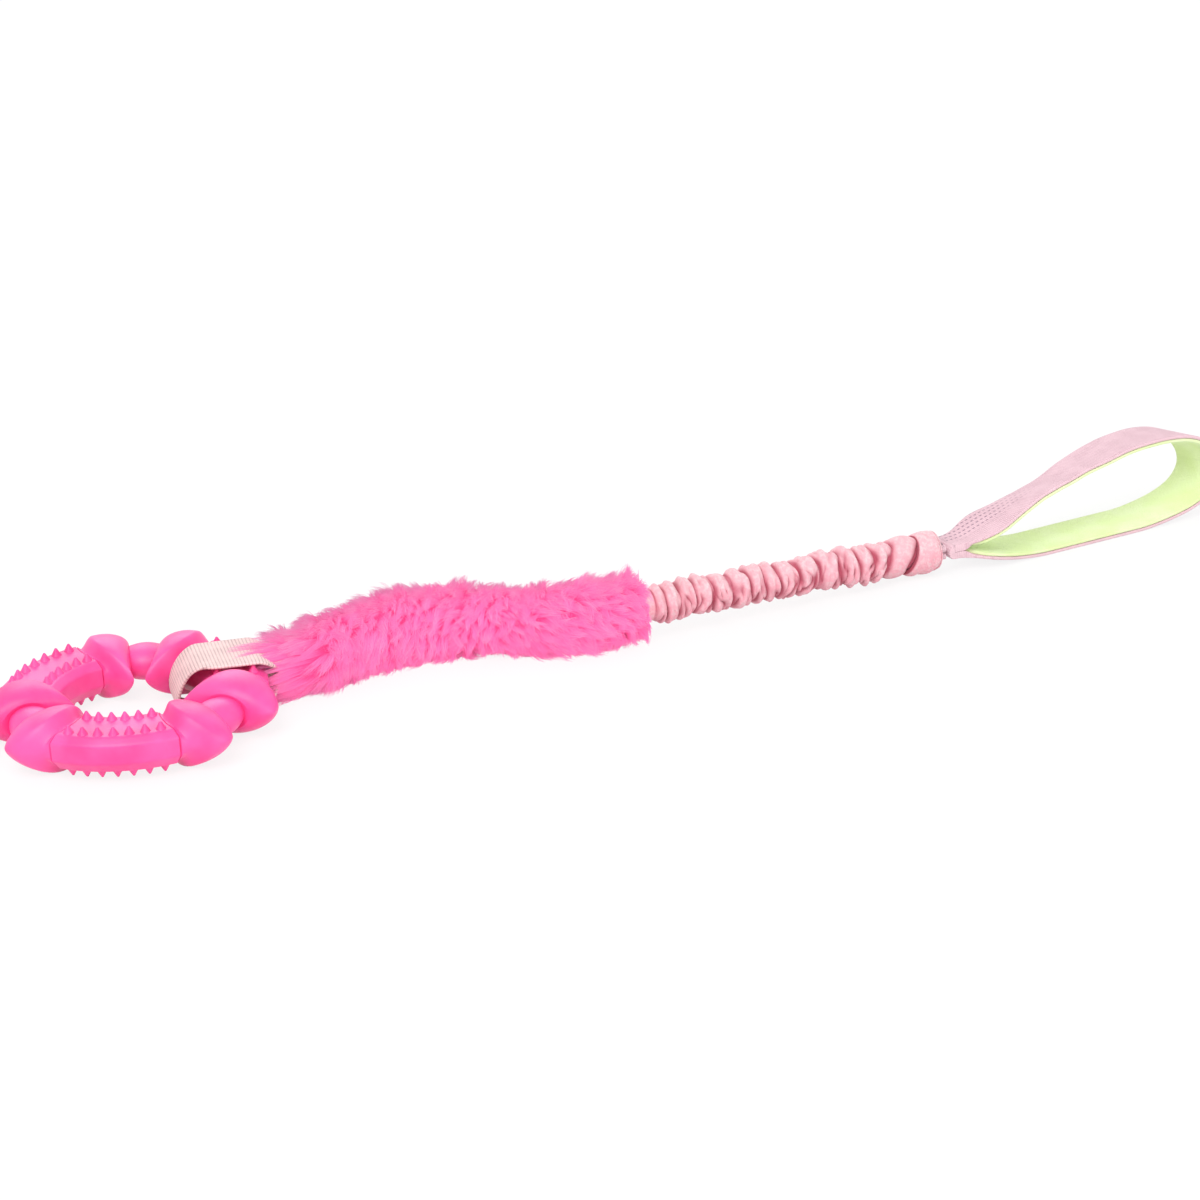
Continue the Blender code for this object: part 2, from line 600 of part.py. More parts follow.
def main():
    """Build every section in place, then set the origin in the middle of the footprint."""
    clear_scene()
    toy = axes("toy_axes", (0, 0, 0))
    ring_centre = Vector((0, RING_SIDE_STEP, RING_HEIGHT))
    outward = Vector((math.cos(BONE_TURN), math.sin(BONE_TURN), 0))
    sideways = Vector((-outward.y, outward.x, 0))
    heading = Vector((math.cos(STRAP_TURN), math.sin(STRAP_TURN), 0))
    wrap = ring_centre + outward * RING_RADIUS + sideways * STRAP_SIDE_STEP
    throat = wrap + heading * THROAT_REACH + Vector((0, 0, THROAT_RISE))
    neck = Vector(BUNGEE_START) + Matrix.Rotation(BUNGEE_DROP, 3, "Y") @ Vector((NECK_REACH, 0, 0))
    route = fur_route(throat)
    build_ring(axes("ring_axes", ring_centre, parent=toy))
    build_strap(axes("strap_axes", throat, (0, 0, STRAP_TURN), toy))
    build_fur(route, toy)
    build_tails(route, heading, toy)
    build_tail_tacks(route, toy)
    build_bungee(axes("bungee_axes", BUNGEE_START, (0, BUNGEE_DROP, 0), toy))
    build_cuff(axes("cuff_axes", BUNGEE_START, (0, BUNGEE_DROP, 0), toy))
    build_hand_loop(axes("hand_loop_axes", neck, (0, 0, LOOP_TURN), toy))
    bpy.context.view_layer.update()
    toy.location = -footprint_middle()


main()
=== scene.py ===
"""Dresses a bungee tug toy: chew ring, strap, faux-fur tube, gathered bungee sleeve and lined hand loop.

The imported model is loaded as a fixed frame. Its joints give the places that every class here builds from, so
a piece lies where its solid lies. All sizes are in metres.
"""
import json
import logging
import math
from dataclasses import dataclass, field
from enum import Enum
from typing import Callable, Sequence

import bmesh
import bpy
import numpy as np
from mathutils import Matrix, Vector
from mathutils.geometry import interpolate_bezier
from mathutils.kdtree import KDTree

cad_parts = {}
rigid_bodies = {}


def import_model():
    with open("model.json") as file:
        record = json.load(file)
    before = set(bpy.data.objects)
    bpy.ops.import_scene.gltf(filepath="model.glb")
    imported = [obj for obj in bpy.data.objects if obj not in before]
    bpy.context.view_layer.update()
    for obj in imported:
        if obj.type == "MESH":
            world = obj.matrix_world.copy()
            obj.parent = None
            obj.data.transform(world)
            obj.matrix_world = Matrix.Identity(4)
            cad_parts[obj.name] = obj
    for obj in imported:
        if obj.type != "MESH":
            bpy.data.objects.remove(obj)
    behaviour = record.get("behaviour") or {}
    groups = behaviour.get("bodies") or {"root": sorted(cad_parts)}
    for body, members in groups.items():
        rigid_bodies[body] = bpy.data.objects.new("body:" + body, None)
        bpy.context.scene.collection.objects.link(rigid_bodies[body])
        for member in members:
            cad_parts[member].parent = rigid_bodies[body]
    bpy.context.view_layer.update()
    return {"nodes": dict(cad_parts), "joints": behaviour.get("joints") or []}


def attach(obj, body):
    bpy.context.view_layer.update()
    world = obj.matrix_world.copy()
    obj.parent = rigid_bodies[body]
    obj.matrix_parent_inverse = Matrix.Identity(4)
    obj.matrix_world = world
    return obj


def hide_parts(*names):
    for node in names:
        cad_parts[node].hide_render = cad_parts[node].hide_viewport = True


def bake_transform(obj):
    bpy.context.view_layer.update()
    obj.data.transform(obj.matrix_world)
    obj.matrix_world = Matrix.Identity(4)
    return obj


LOG = logging.getLogger("tug_toy")
UP = Vector((0.0, 0.0, 1.0))
WELD_DISTANCE = 1e-7
TINY = 1e-12
FLOOR_CLEARANCE = 0.0006
Pair = tuple[float, float]
Colour = tuple[float, float, float]
Placer = Callable[[np.ndarray, np.ndarray], np.ndarray]


class Body(str, Enum):
    """Moving sections of the toy, by their names in the frame."""

    RING = "ring"
    STRAP = "strap"
    FUR = "fur_section"
    BUNGEE = "bungee_section"
    CUFF = "cuff_section"
    LOOP = "hand_loop"


class Slot(str, Enum):
    """Material slots of the record."""

    RUBBER = "ring_rubber"
    STRAP = "strap_webbing"
    FUR = "faux_fur"
    SLEEVE = "sleeve_fabric"
    ELASTIC = "elastic"
    WEBBING = "loop_webbing"
    LINING = "loop_lining"
    THREAD = "thread"


class Graph:
    """Small builder of a node material."""

    LINE_CORE = 0.4
    SHEEN_ROUGHNESS = 0.5

    def __init__(self, name: str) -> None:
        """Start a material with an empty Principled shader.

        Args:
            name: name of the material.
        """
        self.material = bpy.data.materials.new(name)
        self.material.use_nodes = True
        self.tree = self.material.node_tree
        self.shader = self.tree.nodes["Principled BSDF"]

    def node(self, kind: str, **settings: object) -> bpy.types.Node:
        """Add a node.

        Args:
            kind: Blender's node type, without its "ShaderNode" prefix.
            **settings: properties to set on it.

        Returns:
            The new node.
        """
        made = self.tree.nodes.new("ShaderNode" + kind)
        for key, value in settings.items():
            setattr(made, key, value)
        return made

    def feed(self, socket: bpy.types.NodeSocket, value: object) -> None:
        """Link an output to a socket, or set the socket's own value.

        Args:
            socket: input to fill.
            value: an output socket, a number or a colour.
        """
        if isinstance(value, bpy.types.NodeSocket):
            self.tree.links.new(value, socket)
        elif isinstance(value, tuple) and len(value) == 3 and len(socket.default_value) == 4:
            socket.default_value = (*value, 1.0)
        else:
            socket.default_value = value

    def math(self, operation: str, *values: object) -> bpy.types.NodeSocket:
        """Add a Math node.

        Args:
            operation: Blender's name of the operation.
            *values: its inputs, numbers or outputs.

        Returns:
            Its output.
        """
        made = self.node("Math", operation=operation)
        for socket, value in zip(made.inputs, values):
            self.feed(socket, value)
        return made.outputs[0]

    def attribute(self, name: str) -> bpy.types.NodeSocket:
        """Number that a mesh attribute holds.

        Args:
            name: the attribute's name.

        Returns:
            Its factor output.
        """
        return self.node("Attribute", attribute_name=name).outputs["Fac"]

    def mix(self, share: object, first: object, second: object) -> bpy.types.NodeSocket:
        """Mix two colours.

        Args:
            share: 0 for the first colour, 1 for the second.
            first: colour or output.
            second: colour or output.

        Returns:
            The mixed colour.
        """
        made = self.node("Mix", data_type="RGBA")
        self.feed(made.inputs["Factor"], share)
        self.feed(made.inputs["A"], first)
        self.feed(made.inputs["B"], second)
        return made.outputs["Result"]

    def ramp(self, value: object, low: float, high: float) -> bpy.types.NodeSocket:
        """Ease a number from 0 at low to 1 at high.

        Args:
            value: output to read.
            low: where the result is 0.
            high: where the result is 1.

        Returns:
            The eased number.
        """
        made = self.node("MapRange", interpolation_type="SMOOTHSTEP")
        self.feed(made.inputs["Value"], value)
        made.inputs["From Min"].default_value = low
        made.inputs["From Max"].default_value = high
        return made.outputs["Result"]

    def noise(
            self, scale: float, detail: float = 2.0,
            stretch: Colour = (1.0, 1.0, 1.0)) -> bpy.types.NodeSocket:
        """Noise on the object's own coordinates.

        Args:
            scale: noise cells in a metre.
            detail: octaves of finer noise.
            stretch: scale along each axis.

        Returns:
            The noise, 0 to 1.
        """
        place = self.node("TexCoord").outputs["Object"]
        mapping = self.node("Mapping")
        self.feed(mapping.inputs["Vector"], place)
        mapping.inputs["Scale"].default_value = stretch
        made = self.node("TexNoise")
        self.feed(made.inputs["Vector"], mapping.outputs["Vector"])
        made.inputs["Scale"].default_value = scale
        made.inputs["Detail"].default_value = detail
        return made.outputs["Fac"]

    def lines(self, value: object, pitch: float, width: float) -> bpy.types.NodeSocket:
        """Soft lines at an even pitch.

        Args:
            value: distance across the lines, in metres.
            pitch: distance between the lines.
            width: width of a line.

        Returns:
            1 on a line and 0 between lines.
        """
        swing = self.math("PINGPONG", self.math("MULTIPLY", value, 1.0 / pitch), 0.5)
        return self.ramp(swing, width / pitch, width / pitch * self.LINE_CORE)

    def relief(self, height: object, depth: float) -> None:
        """Give the surface a bump.

        Args:
            height: output, 0 to 1.
            depth: height of 1, in metres.
        """
        bump = self.node("Bump")
        bump.inputs["Distance"].default_value = depth
        self.feed(bump.inputs["Height"], height)
        self.feed(self.shader.inputs["Normal"], bump.outputs["Normal"])

    def surface(
            self, colour: object, roughness: object, sheen: float = 0.0,
            tint: Colour = (1.0, 1.0, 1.0)) -> None:
        """Set the shader's colour, roughness and sheen.

        Args:
            colour: colour or output.
            roughness: number or output.
            sheen: weight of the cloth sheen.
            tint: colour of the sheen.
        """
        self.feed(self.shader.inputs["Base Color"], colour)
        self.feed(self.shader.inputs["Roughness"], roughness)
        self.shader.inputs["Sheen Weight"].default_value = sheen
        self.shader.inputs["Sheen Roughness"].default_value = self.SHEEN_ROUGHNESS
        self.feed(self.shader.inputs["Sheen Tint"], tint)


@dataclass(frozen=True)
class RubberFinish:
    """Moulded chew rubber: satin, a little mottled, with a fine bloom."""

    colour: Colour = (1.0, 0.095, 0.38)
    deep: Colour = (0.93, 0.055, 0.29)
    mottle_scale: float = 55.0
    mottle_range: Pair = (0.35, 0.7)
    least_roughness: float = 0.32
    bloom: float = 0.16
    bloom_scale: float = 160.0
    softness: float = 0.12
    soft_colour: Colour = (1.0, 0.3, 0.4)
    soft_depth: float = 0.003
    grain_scale: float = 900.0
    grain_depth: float = 0.00005

    def material(self) -> bpy.types.Material:
        """Build the rubber's material.

        Returns:
            The rubber.
        """
        graph = Graph("moulded_rubber")
        mottle = graph.ramp(graph.noise(self.mottle_scale, 3.0), *self.mottle_range)
        bloom = graph.math(
            "MULTIPLY_ADD", graph.noise(self.bloom_scale), self.bloom, self.least_roughness)
        graph.surface(graph.mix(mottle, self.colour, self.deep), bloom)
        graph.shader.inputs["Subsurface Weight"].default_value = self.softness
        graph.shader.inputs["Subsurface Radius"].default_value = self.soft_colour
        graph.shader.inputs["Subsurface Scale"].default_value = self.soft_depth
        graph.relief(graph.noise(self.grain_scale), self.grain_depth)
        return graph.material


@dataclass(frozen=True)
class FurFinish:
    """Long pile: darker at the root as painted shade deep in the pile, paler at the tip partly by its own pale
    tips and partly as painted highlight, each lock a little different.
    """

    # root: painted shade deep in the pile, where the strands would shade each other
    root: Colour = (0.88, 0.075, 0.30)
    body: Colour = (1.0, 0.175, 0.47)
    # tip: partly the pile's own paler tips and partly painted highlight on the outer layer
    tip: Colour = (1.0, 0.36, 0.62)
    edge: Colour = (1.0, 0.70, 0.85)
    root_shade_range: Pair = (0.05, 0.55)
    pale_tip_and_highlight_range: Pair = (0.45, 1.0)
    roughness: float = 0.85
    sheen: float = 0.5
    gloss: float = 0.15

    def material(self) -> bpy.types.Material:
        """Build the pile's material.

        Returns:
            The pile's material.
        """
        graph = Graph("fur_pile")
        reach = graph.attribute("tip")
        tint = graph.attribute("tint")
        # darker towards the root: painted shade deep in the pile
        lower = graph.mix(graph.ramp(reach, *self.root_shade_range), self.root, self.body)
        # paler towards the tip: partly the pile's own pale tips and partly painted highlight, stronger on some
        # locks
        pale = graph.math("MULTIPLY", graph.ramp(reach, *self.pale_tip_and_highlight_range), tint)
        upper = graph.mix(pale, lower, self.tip)
        graph.surface(upper, self.roughness, sheen=self.sheen, tint=self.edge)
        graph.shader.inputs["Specular IOR Level"].default_value = self.gloss
        return graph.material


@dataclass(frozen=True)
class BackingFinish:
    """Knitted backing of the fur."""

    colour: Colour = (0.95, 0.12, 0.38)
    rib: Colour = (0.85, 0.08, 0.30)
    rib_pitch: float = 0.0011
    rib_width: float = 0.0004
    rib_depth: float = 0.0002
    roughness: float = 0.9

    def material(self) -> bpy.types.Material:
        """Build the backing's material.

        Returns:
            The knit.
        """
        graph = Graph("fur_backing_knit")
        knit = graph.lines(graph.attribute("along"), self.rib_pitch, self.rib_width)
        graph.surface(graph.mix(knit, self.colour, self.rib), self.roughness)
        graph.relief(knit, self.rib_depth)
        return graph.material


@dataclass(frozen=True)
class Dashes:
    """Rows of short dark dashes at a band's start, which fade along it and towards its near edge."""

    colour: Colour
    fade: Pair
    row_pitch: float = 0.0030
    row_width: float = 0.0006
    row_shift: float = 0.0009
    pitch: float = 0.0024
    length: float = 0.0009
    near_fade: Pair = (-0.0045, 0.0)
    strength: float = 0.8

    def mask(self, graph: Graph, across: object, along: object) -> bpy.types.NodeSocket:
        """Mark the dashes.

        Args:
            graph: material to add to.
            across: distance from the band's middle.
            along: distance along the band.

        Returns:
            1 on a dash.
        """
        row = graph.lines(across, self.row_pitch, self.row_width)
        number = graph.math("ROUND", graph.math("MULTIPLY", across, 1.0 / self.row_pitch))
        step = graph.math("ADD", along, graph.math("MULTIPLY", number, self.row_shift))
        dash = graph.lines(step, self.pitch, self.length)
        fade = graph.math("SUBTRACT", 1.0, graph.ramp(along, *self.fade))
        far = graph.ramp(across, *self.near_fade)
        shown = graph.math("MULTIPLY", graph.math("MULTIPLY", fade, far), self.strength)
        return graph.math("MULTIPLY", graph.math("MULTIPLY", row, dash), shown)


@dataclass(frozen=True)
class WebbingFinish:
    """Flat webbing with a woven grid, read from the band's own distances."""

    name: str
    colour: Colour
    thread: Colour
    warp_pitch: float
    weft_pitch: float
    line_width: float
    dashes: Sequence[Dashes] = ()
    line_share: float = 0.62
    crossing_share: float = 0.75
    wear_scale: float = 140.0
    wear_range: Pair = (0.3, 0.7)
    wear: float = 0.5
    fibre_scale: float = 2600.0
    fibre_share: float = 0.4
    weave_depth: float = 0.00018
    roughness: float = 0.82
    sheen: float = 0.15

    def material(self) -> bpy.types.Material:
        """Build the webbing's material.

        Returns:
            The webbing.
        """
        graph = Graph(self.name)
        across = graph.attribute("across")
        along = graph.attribute("along")
        warp = graph.lines(across, self.warp_pitch, self.line_width)
        weft = graph.lines(along, self.weft_pitch, self.line_width)
        worn = graph.ramp(graph.noise(self.wear_scale, 3.0), *self.wear_range)
        either = graph.math("MULTIPLY", graph.math("MAXIMUM", warp, weft), self.line_share)
        crossing = graph.math("MULTIPLY", warp, weft)
        woven = graph.math("MULTIPLY_ADD", crossing, self.crossing_share, either)
        grid = graph.math(
            "MULTIPLY", woven, graph.math("MULTIPLY_ADD", worn, self.wear, 1.0 - self.wear))
        colour = graph.mix(grid, self.colour, self.thread)
        for rows in self.dashes:
            colour = graph.mix(rows.mask(graph, across, along), colour, rows.colour)
        graph.surface(colour, self.roughness, sheen=self.sheen)
        fibres = graph.math("MULTIPLY", graph.noise(self.fibre_scale), self.fibre_share)
        graph.relief(graph.math("SUBTRACT", fibres, grid), self.weave_depth)
        return graph.material


@dataclass(frozen=True)
class ClothFinish:
    """Thin gathered cloth: warm, dark painted shade in its folds, and on its crests pale flecks with painted
    light on its upper side.
    """

    colour: Colour = (0.86, 0.39, 0.46)
    # fold: painted shade that darkens the creases between the gathers
    fold: Colour = (0.48, 0.08, 0.13)
    # pale colour of the flecks, and of painted light on the upper side and the crests
    fleck_and_top_light: Colour = (0.84, 0.60, 0.63)
    fold_shade_range: Pair = (0.05, 0.85)
    fleck_scale: float = 560.0
    fleck_range: Pair = (0.42, 0.66)
    fleck_share: float = 0.60
    top_light_share: float = 0.35
    lit_crest_range: Pair = (0.3, 1.0)
    weave_scale: float = 1500.0
    weave_depth: float = 0.00050
    roughness: float = 0.85
    sheen: float = 0.2

    def material(self) -> bpy.types.Material:
        """Build the cloth's material.

        Returns:
            The cloth.
        """
        graph = Graph("gathered_cloth")
        crest = graph.attribute("crest")
        # low places between the gathers take the fold colour as painted shade
        base = graph.mix(graph.ramp(crest, *self.fold_shade_range), self.fold, self.colour)
        flecks = graph.ramp(graph.noise(self.fleck_scale, 3.0), *self.fleck_range)
        fleck = graph.math("MULTIPLY", flecks, self.fleck_share)
        # pale flecks plus painted light on the upper side, shown only on the crests as painted highlight
        flecks_and_top_light = graph.math("MULTIPLY_ADD", graph.attribute("upper"), self.top_light_share, fleck)
        shown = graph.math("MULTIPLY", flecks_and_top_light, graph.ramp(crest, *self.lit_crest_range))
        graph.surface(graph.mix(shown, base, self.fleck_and_top_light), self.roughness, sheen=self.sheen)
        graph.relief(graph.noise(self.weave_scale, 3.0), self.weave_depth)
        return graph.material


@dataclass(frozen=True)
class FleeceFinish:
    """Brushed lining: a soft, even nap."""

    colour: Colour = (0.73, 0.86, 0.42)
    nap: Colour = (0.82, 0.91, 0.60)
    cloud_scale: float = 70.0
    cloud_range: Pair = (0.3, 0.7)
    cloud_share: float = 0.6
    nap_scale: float = 1300.0
    nap_depth: float = 0.0004
    roughness: float = 0.9
    sheen: float = 0.4

    def material(self) -> bpy.types.Material:
        """Build the lining's material.

        Returns:
            The fleece.
        """
        graph = Graph("fleece_lining")
        cloud = graph.ramp(graph.noise(self.cloud_scale), *self.cloud_range)
        share = graph.math("MULTIPLY", cloud, self.cloud_share)
        graph.surface(graph.mix(share, self.colour, self.nap), self.roughness, sheen=self.sheen)
        graph.relief(graph.noise(self.nap_scale, 4.0), self.nap_depth)
        return graph.material


@dataclass(frozen=True)
class ThreadFinish:
    """Twisted sewing thread or braided cord."""

    name: str
    colour: Colour
    pale: Colour = (0.9, 0.85, 0.85)
    pale_share: float = 0.5
    twist_scale: float = 2400.0
    twist_stretch: Colour = (1.0, 1.0, 0.4)
    twist_depth: float = 0.0001
    roughness: float = 0.7

    def material(self) -> bpy.types.Material:
        """Build the thread's material.

        Returns:
            The thread.
        """
        graph = Graph(self.name)
        strand = graph.noise(self.twist_scale, 2.0, self.twist_stretch)
        share = graph.math("MULTIPLY", strand, self.pale_share)
        graph.surface(graph.mix(share, self.colour, self.pale), self.roughness)
        graph.relief(strand, self.twist_depth)
        return graph.material


class WaveField:
    """Smooth seeded unevenness over the distance along a tube and the angle round it."""

    WAVES = 14

    def __init__(self, seed: int, wavelength: float, turns: int, strength: float = 1.0) -> None:
        """Draw the waves.

        Args:
            seed: seed of the draw.
            wavelength: shortest wavelength along the tube.
            turns: most waves round the tube.
            strength: factor of the result.
        """
        draw = np.random.default_rng(seed)
        self.rate = draw.uniform(-1.0, 1.0, self.WAVES) * 2 * math.pi / wavelength
        self.turns = draw.integers(-turns, turns + 1, self.WAVES)
        self.phase = draw.uniform(0, 2 * math.pi, self.WAVES)
        self.strength = strength

    def at(self, along: np.ndarray, angle: np.ndarray) -> np.ndarray:
        """Value of the field, about -2 to 2 times its strength.

        Args:
            along: distances along the tube.
            angle: angles round it.

        Returns:
            One value for each place.
        """
        waves = self.rate * along[:, None] + self.turns * angle[:, None] + self.phase
        return self.strength * (np.sin(waves).sum(1) / math.sqrt(self.WAVES / 2))


def eased(share: np.ndarray) -> np.ndarray:
    """Ease a share from 0 to 1 at both ends."""
    held = np.clip(share, 0.0, 1.0)
    return held * held * (3 - 2 * held)


def axes_matrix(origin: Vector, heading: Vector) -> Matrix:
    """Axes at a point with X along a heading and Y level.

    Args:
        origin: where the axes are.
        heading: direction of X.

    Returns:
        The matrix from these axes to the frame.
    """
    along = heading.normalized()
    side = UP.cross(along).normalized()
    up = along.cross(side)
    matrix = Matrix((along, side, up)).transposed().to_4x4()
    matrix.translation = origin
    return matrix


def moved(points: np.ndarray, matrix: Matrix) -> np.ndarray:
    """Points taken through a matrix."""
    array = np.array(matrix)
    return points @ array[:3, :3].T + array[:3, 3]


def round_axis(reach: np.ndarray, radius: np.ndarray, angle: np.ndarray, axes: Matrix) -> np.ndarray:
    """Points round the X axis of given axes.

    Args:
        reach: distances along the axis.
        radius: distances from it.
        angle: angles round it.
        axes: matrix from the axes to the frame.

    Returns:
        The points in the frame.
    """
    return moved(np.stack([reach, radius * np.cos(angle), radius * np.sin(angle)], 1), axes)


def unit_rows(vectors: np.ndarray) -> np.ndarray:
    """Vectors of one table, each brought to length 1."""
    return vectors / np.linalg.norm(vectors, axis=-1, keepdims=True)


def between(first: Sequence[float], last: Sequence[float], share: float) -> list[float]:
    """Numbers a share of the way from the first ones to the last ones."""
    return [start + (end - start) * share for start, end in zip(first, last)]


def smooth_route(points: Sequence[Vector], first: Vector, last: Vector, steps: int) -> list[Vector]:
    """Smooth route through points.

    Args:
        points: the points.
        first: unit heading at the first point.
        last: unit heading at the last point.
        steps: steps between two points.

    Returns:
        Points of the route.
    """
    pulls = [first * (points[1] - points[0]).length / 3]
    for before, point, after in zip(points, points[1:], points[2:]):
        reach = min((after - point).length, (point - before).length)
        pulls.append((after - before).normalized() * reach / 3)
    pulls.append(last * (points[-1] - points[-2]).length / 3)
    return bezier_route(list(zip(points, pulls)), steps)


def bezier_route(knots: Sequence[tuple[Vector, Vector]], steps: int) -> list[Vector]:
    """Smooth route through knots.

    Args:
        knots: points, each with the pull of its handles.
        steps: steps between two knots.

    Returns:
        Points of the route.
    """
    route = []
    for (start, pull_out), (end, pull_in) in zip(knots, knots[1:]):
        route.extend(interpolate_bezier(start, start + pull_out, end - pull_in, end, steps + 1)[:-1])
    route.append(knots[-1][0])
    return [Vector(point) for point in route]


def finished(
        name: str, bm: bmesh.types.BMesh, material: bpy.types.Material,
        sharp: float = 40.0) -> bpy.types.Object:
    """Turn a bmesh into a smooth shaded object at the origin.

    Args:
        name: name of the piece.
        bm: its mesh, which is freed.
        material: its material.
        sharp: angle above which an edge stays crisp, in degrees.

    Returns:
        The object.
    """
    mesh = bpy.data.meshes.new(name)
    bm.to_mesh(mesh)
    bm.free()
    mesh.shade_smooth()
    mesh.set_sharp_from_angle(angle=math.radians(sharp))
    mesh.materials.append(material)
    item = bpy.data.objects.new(name, mesh)
    bpy.context.scene.collection.objects.link(item)
    return item


def shaped_grid(
        around: int, along: int, place: Placer, marks: dict[str, Placer]) -> bmesh.types.BMesh:
    """Grid bent into a surface, with its seam welded and its ends filled.

    Args:
        around: steps round the surface.
        along: steps along it.
        place: gives a point for each pair of shares, round and along.
        marks: name and value of each attribute, from the same shares.

    Returns:
        The mesh.
    """
    bm = bmesh.new()
    bmesh.ops.create_grid(bm, x_segments=around, y_segments=along, size=0.5)
    flat = np.array([vert.co for vert in bm.verts])
    low = flat.min(0)
    shares = (flat - low) / np.maximum(flat.max(0) - low, TINY)
    points = place(shares[:, 0], shares[:, 1])
    for key, value in marks.items():
        layer = bm.verts.layers.float.new(key)
        for vert, number in zip(bm.verts, value(shares[:, 0], shares[:, 1])):
            vert[layer] = number
    for vert, point in zip(bm.verts, points):
        vert.co = point
    bmesh.ops.remove_doubles(bm, verts=bm.verts, dist=WELD_DISTANCE)
    rims = [edge for edge in bm.edges if edge.is_boundary]
    if rims:
        bmesh.ops.holes_fill(bm, edges=rims, sides=0)
    bmesh.ops.recalc_face_normals(bm, faces=bm.faces)
    return bm


@dataclass
class Band:
    """Flat woven band with round edges, along a route."""

    thickness: float
    face_steps: int = 12
    edge_steps: int = 4

    def outline(self) -> np.ndarray:
        """Outline of the section.

        Returns:
            For each corner the share across, then the edge's unit offsets across and up.
        """
        rows = [(1 - 2 * i / self.face_steps, 0.0, 1.0) for i in range(self.face_steps)]
        for i in range(self.edge_steps):
            angle = math.pi * (0.5 + i / self.edge_steps)
            rows.append((-1.0, math.cos(angle), math.sin(angle)))
        rows += [(-1 + 2 * i / self.face_steps, 0.0, -1.0) for i in range(self.face_steps)]
        for i in range(self.edge_steps):
            angle = math.pi * (1.5 + i / self.edge_steps)
            rows.append((1.0, math.cos(angle), math.sin(angle)))
        return np.array(rows)

    def build(
            self, route: np.ndarray, sides: np.ndarray, half_widths: np.ndarray,
            closed: bool) -> bmesh.types.BMesh:
        """Build the band.

        Args:
            route: points of its middle line.
            sides: unit vector across the band at each point.
            half_widths: half its width at each point.
            closed: whether the route ends where it starts.

        Returns:
            Its mesh, with the attributes "across" and "along".
        """
        outline = self.outline()
        count = len(route)
        ahead = np.roll(route, -1, 0) if closed else np.vstack([route[1:], route[-1:]])
        behind = np.roll(route, 1, 0) if closed else np.vstack([route[:1], route[:-1]])
        normals = unit_rows(np.cross(unit_rows(ahead - behind), sides))
        lengths = np.concatenate([[0.0], np.cumsum(np.linalg.norm(np.diff(route, axis=0), axis=1))])
        half = self.thickness / 2
        rows = count if closed else count - 1

        def picks(around: np.ndarray, share: np.ndarray) -> tuple[np.ndarray, np.ndarray, np.ndarray]:
            """Find what each place needs.

            Args:
                around: shares round the section.
                share: shares along the surface.

            Returns:
                Outline row, route index and distance across for each place.
            """
            section = outline[np.rint(around * len(outline)).astype(int) % len(outline)]
            index = np.rint(share * rows).astype(int) % count
            across = section[:, 0] * (half_widths[index] - half) + section[:, 1] * half
            return section, index, across

        def place(around: np.ndarray, share: np.ndarray) -> np.ndarray:
            """Point for each place.

            Args:
                around: shares round the section.
                share: shares along the surface.

            Returns:
                The points.
            """
            section, index, across = picks(around, share)
            rise = section[:, 2] * half
            return route[index] + sides[index] * across[:, None] + normals[index] * rise[:, None]

        marks = {
            "across": lambda around, share: picks(around, share)[2],
            "along": lambda around, share: lengths[picks(around, share)[1]],
        }
        return shaped_grid(len(outline), rows, place, marks)


@dataclass
class ToyPlaces:
    """Places that the frame's joints give."""

    ring_centre: Vector
    throat: Vector
    strap_heading: Vector
    bungee_start: Vector
    bungee_heading: Vector
    neck: Vector
    loop_heading: Vector

    @classmethod
    def read(cls, joints: Sequence[dict]) -> "ToyPlaces":
        """Read the places.

        Args:
            joints: the frame's joints.

        Returns:
            The places.
        """
        named = {joint["name"]: joint for joint in joints}

        def point(name: str) -> Vector:
            """Where a joint is."""
            return Vector(named[name]["pos_m"])

        def level(name: str) -> Vector:
            """Level heading square to a hinge's axis."""
            return Vector(named[name]["axis"]).cross(UP).normalized()

        return cls(
            point("ring_turn"), point("ring_swing"), level("ring_swing"), point("bungee_bend"),
            Vector(named["bungee_stretch"]["axis"]).normalized(), point("handle_flex"), level("handle_flex"))


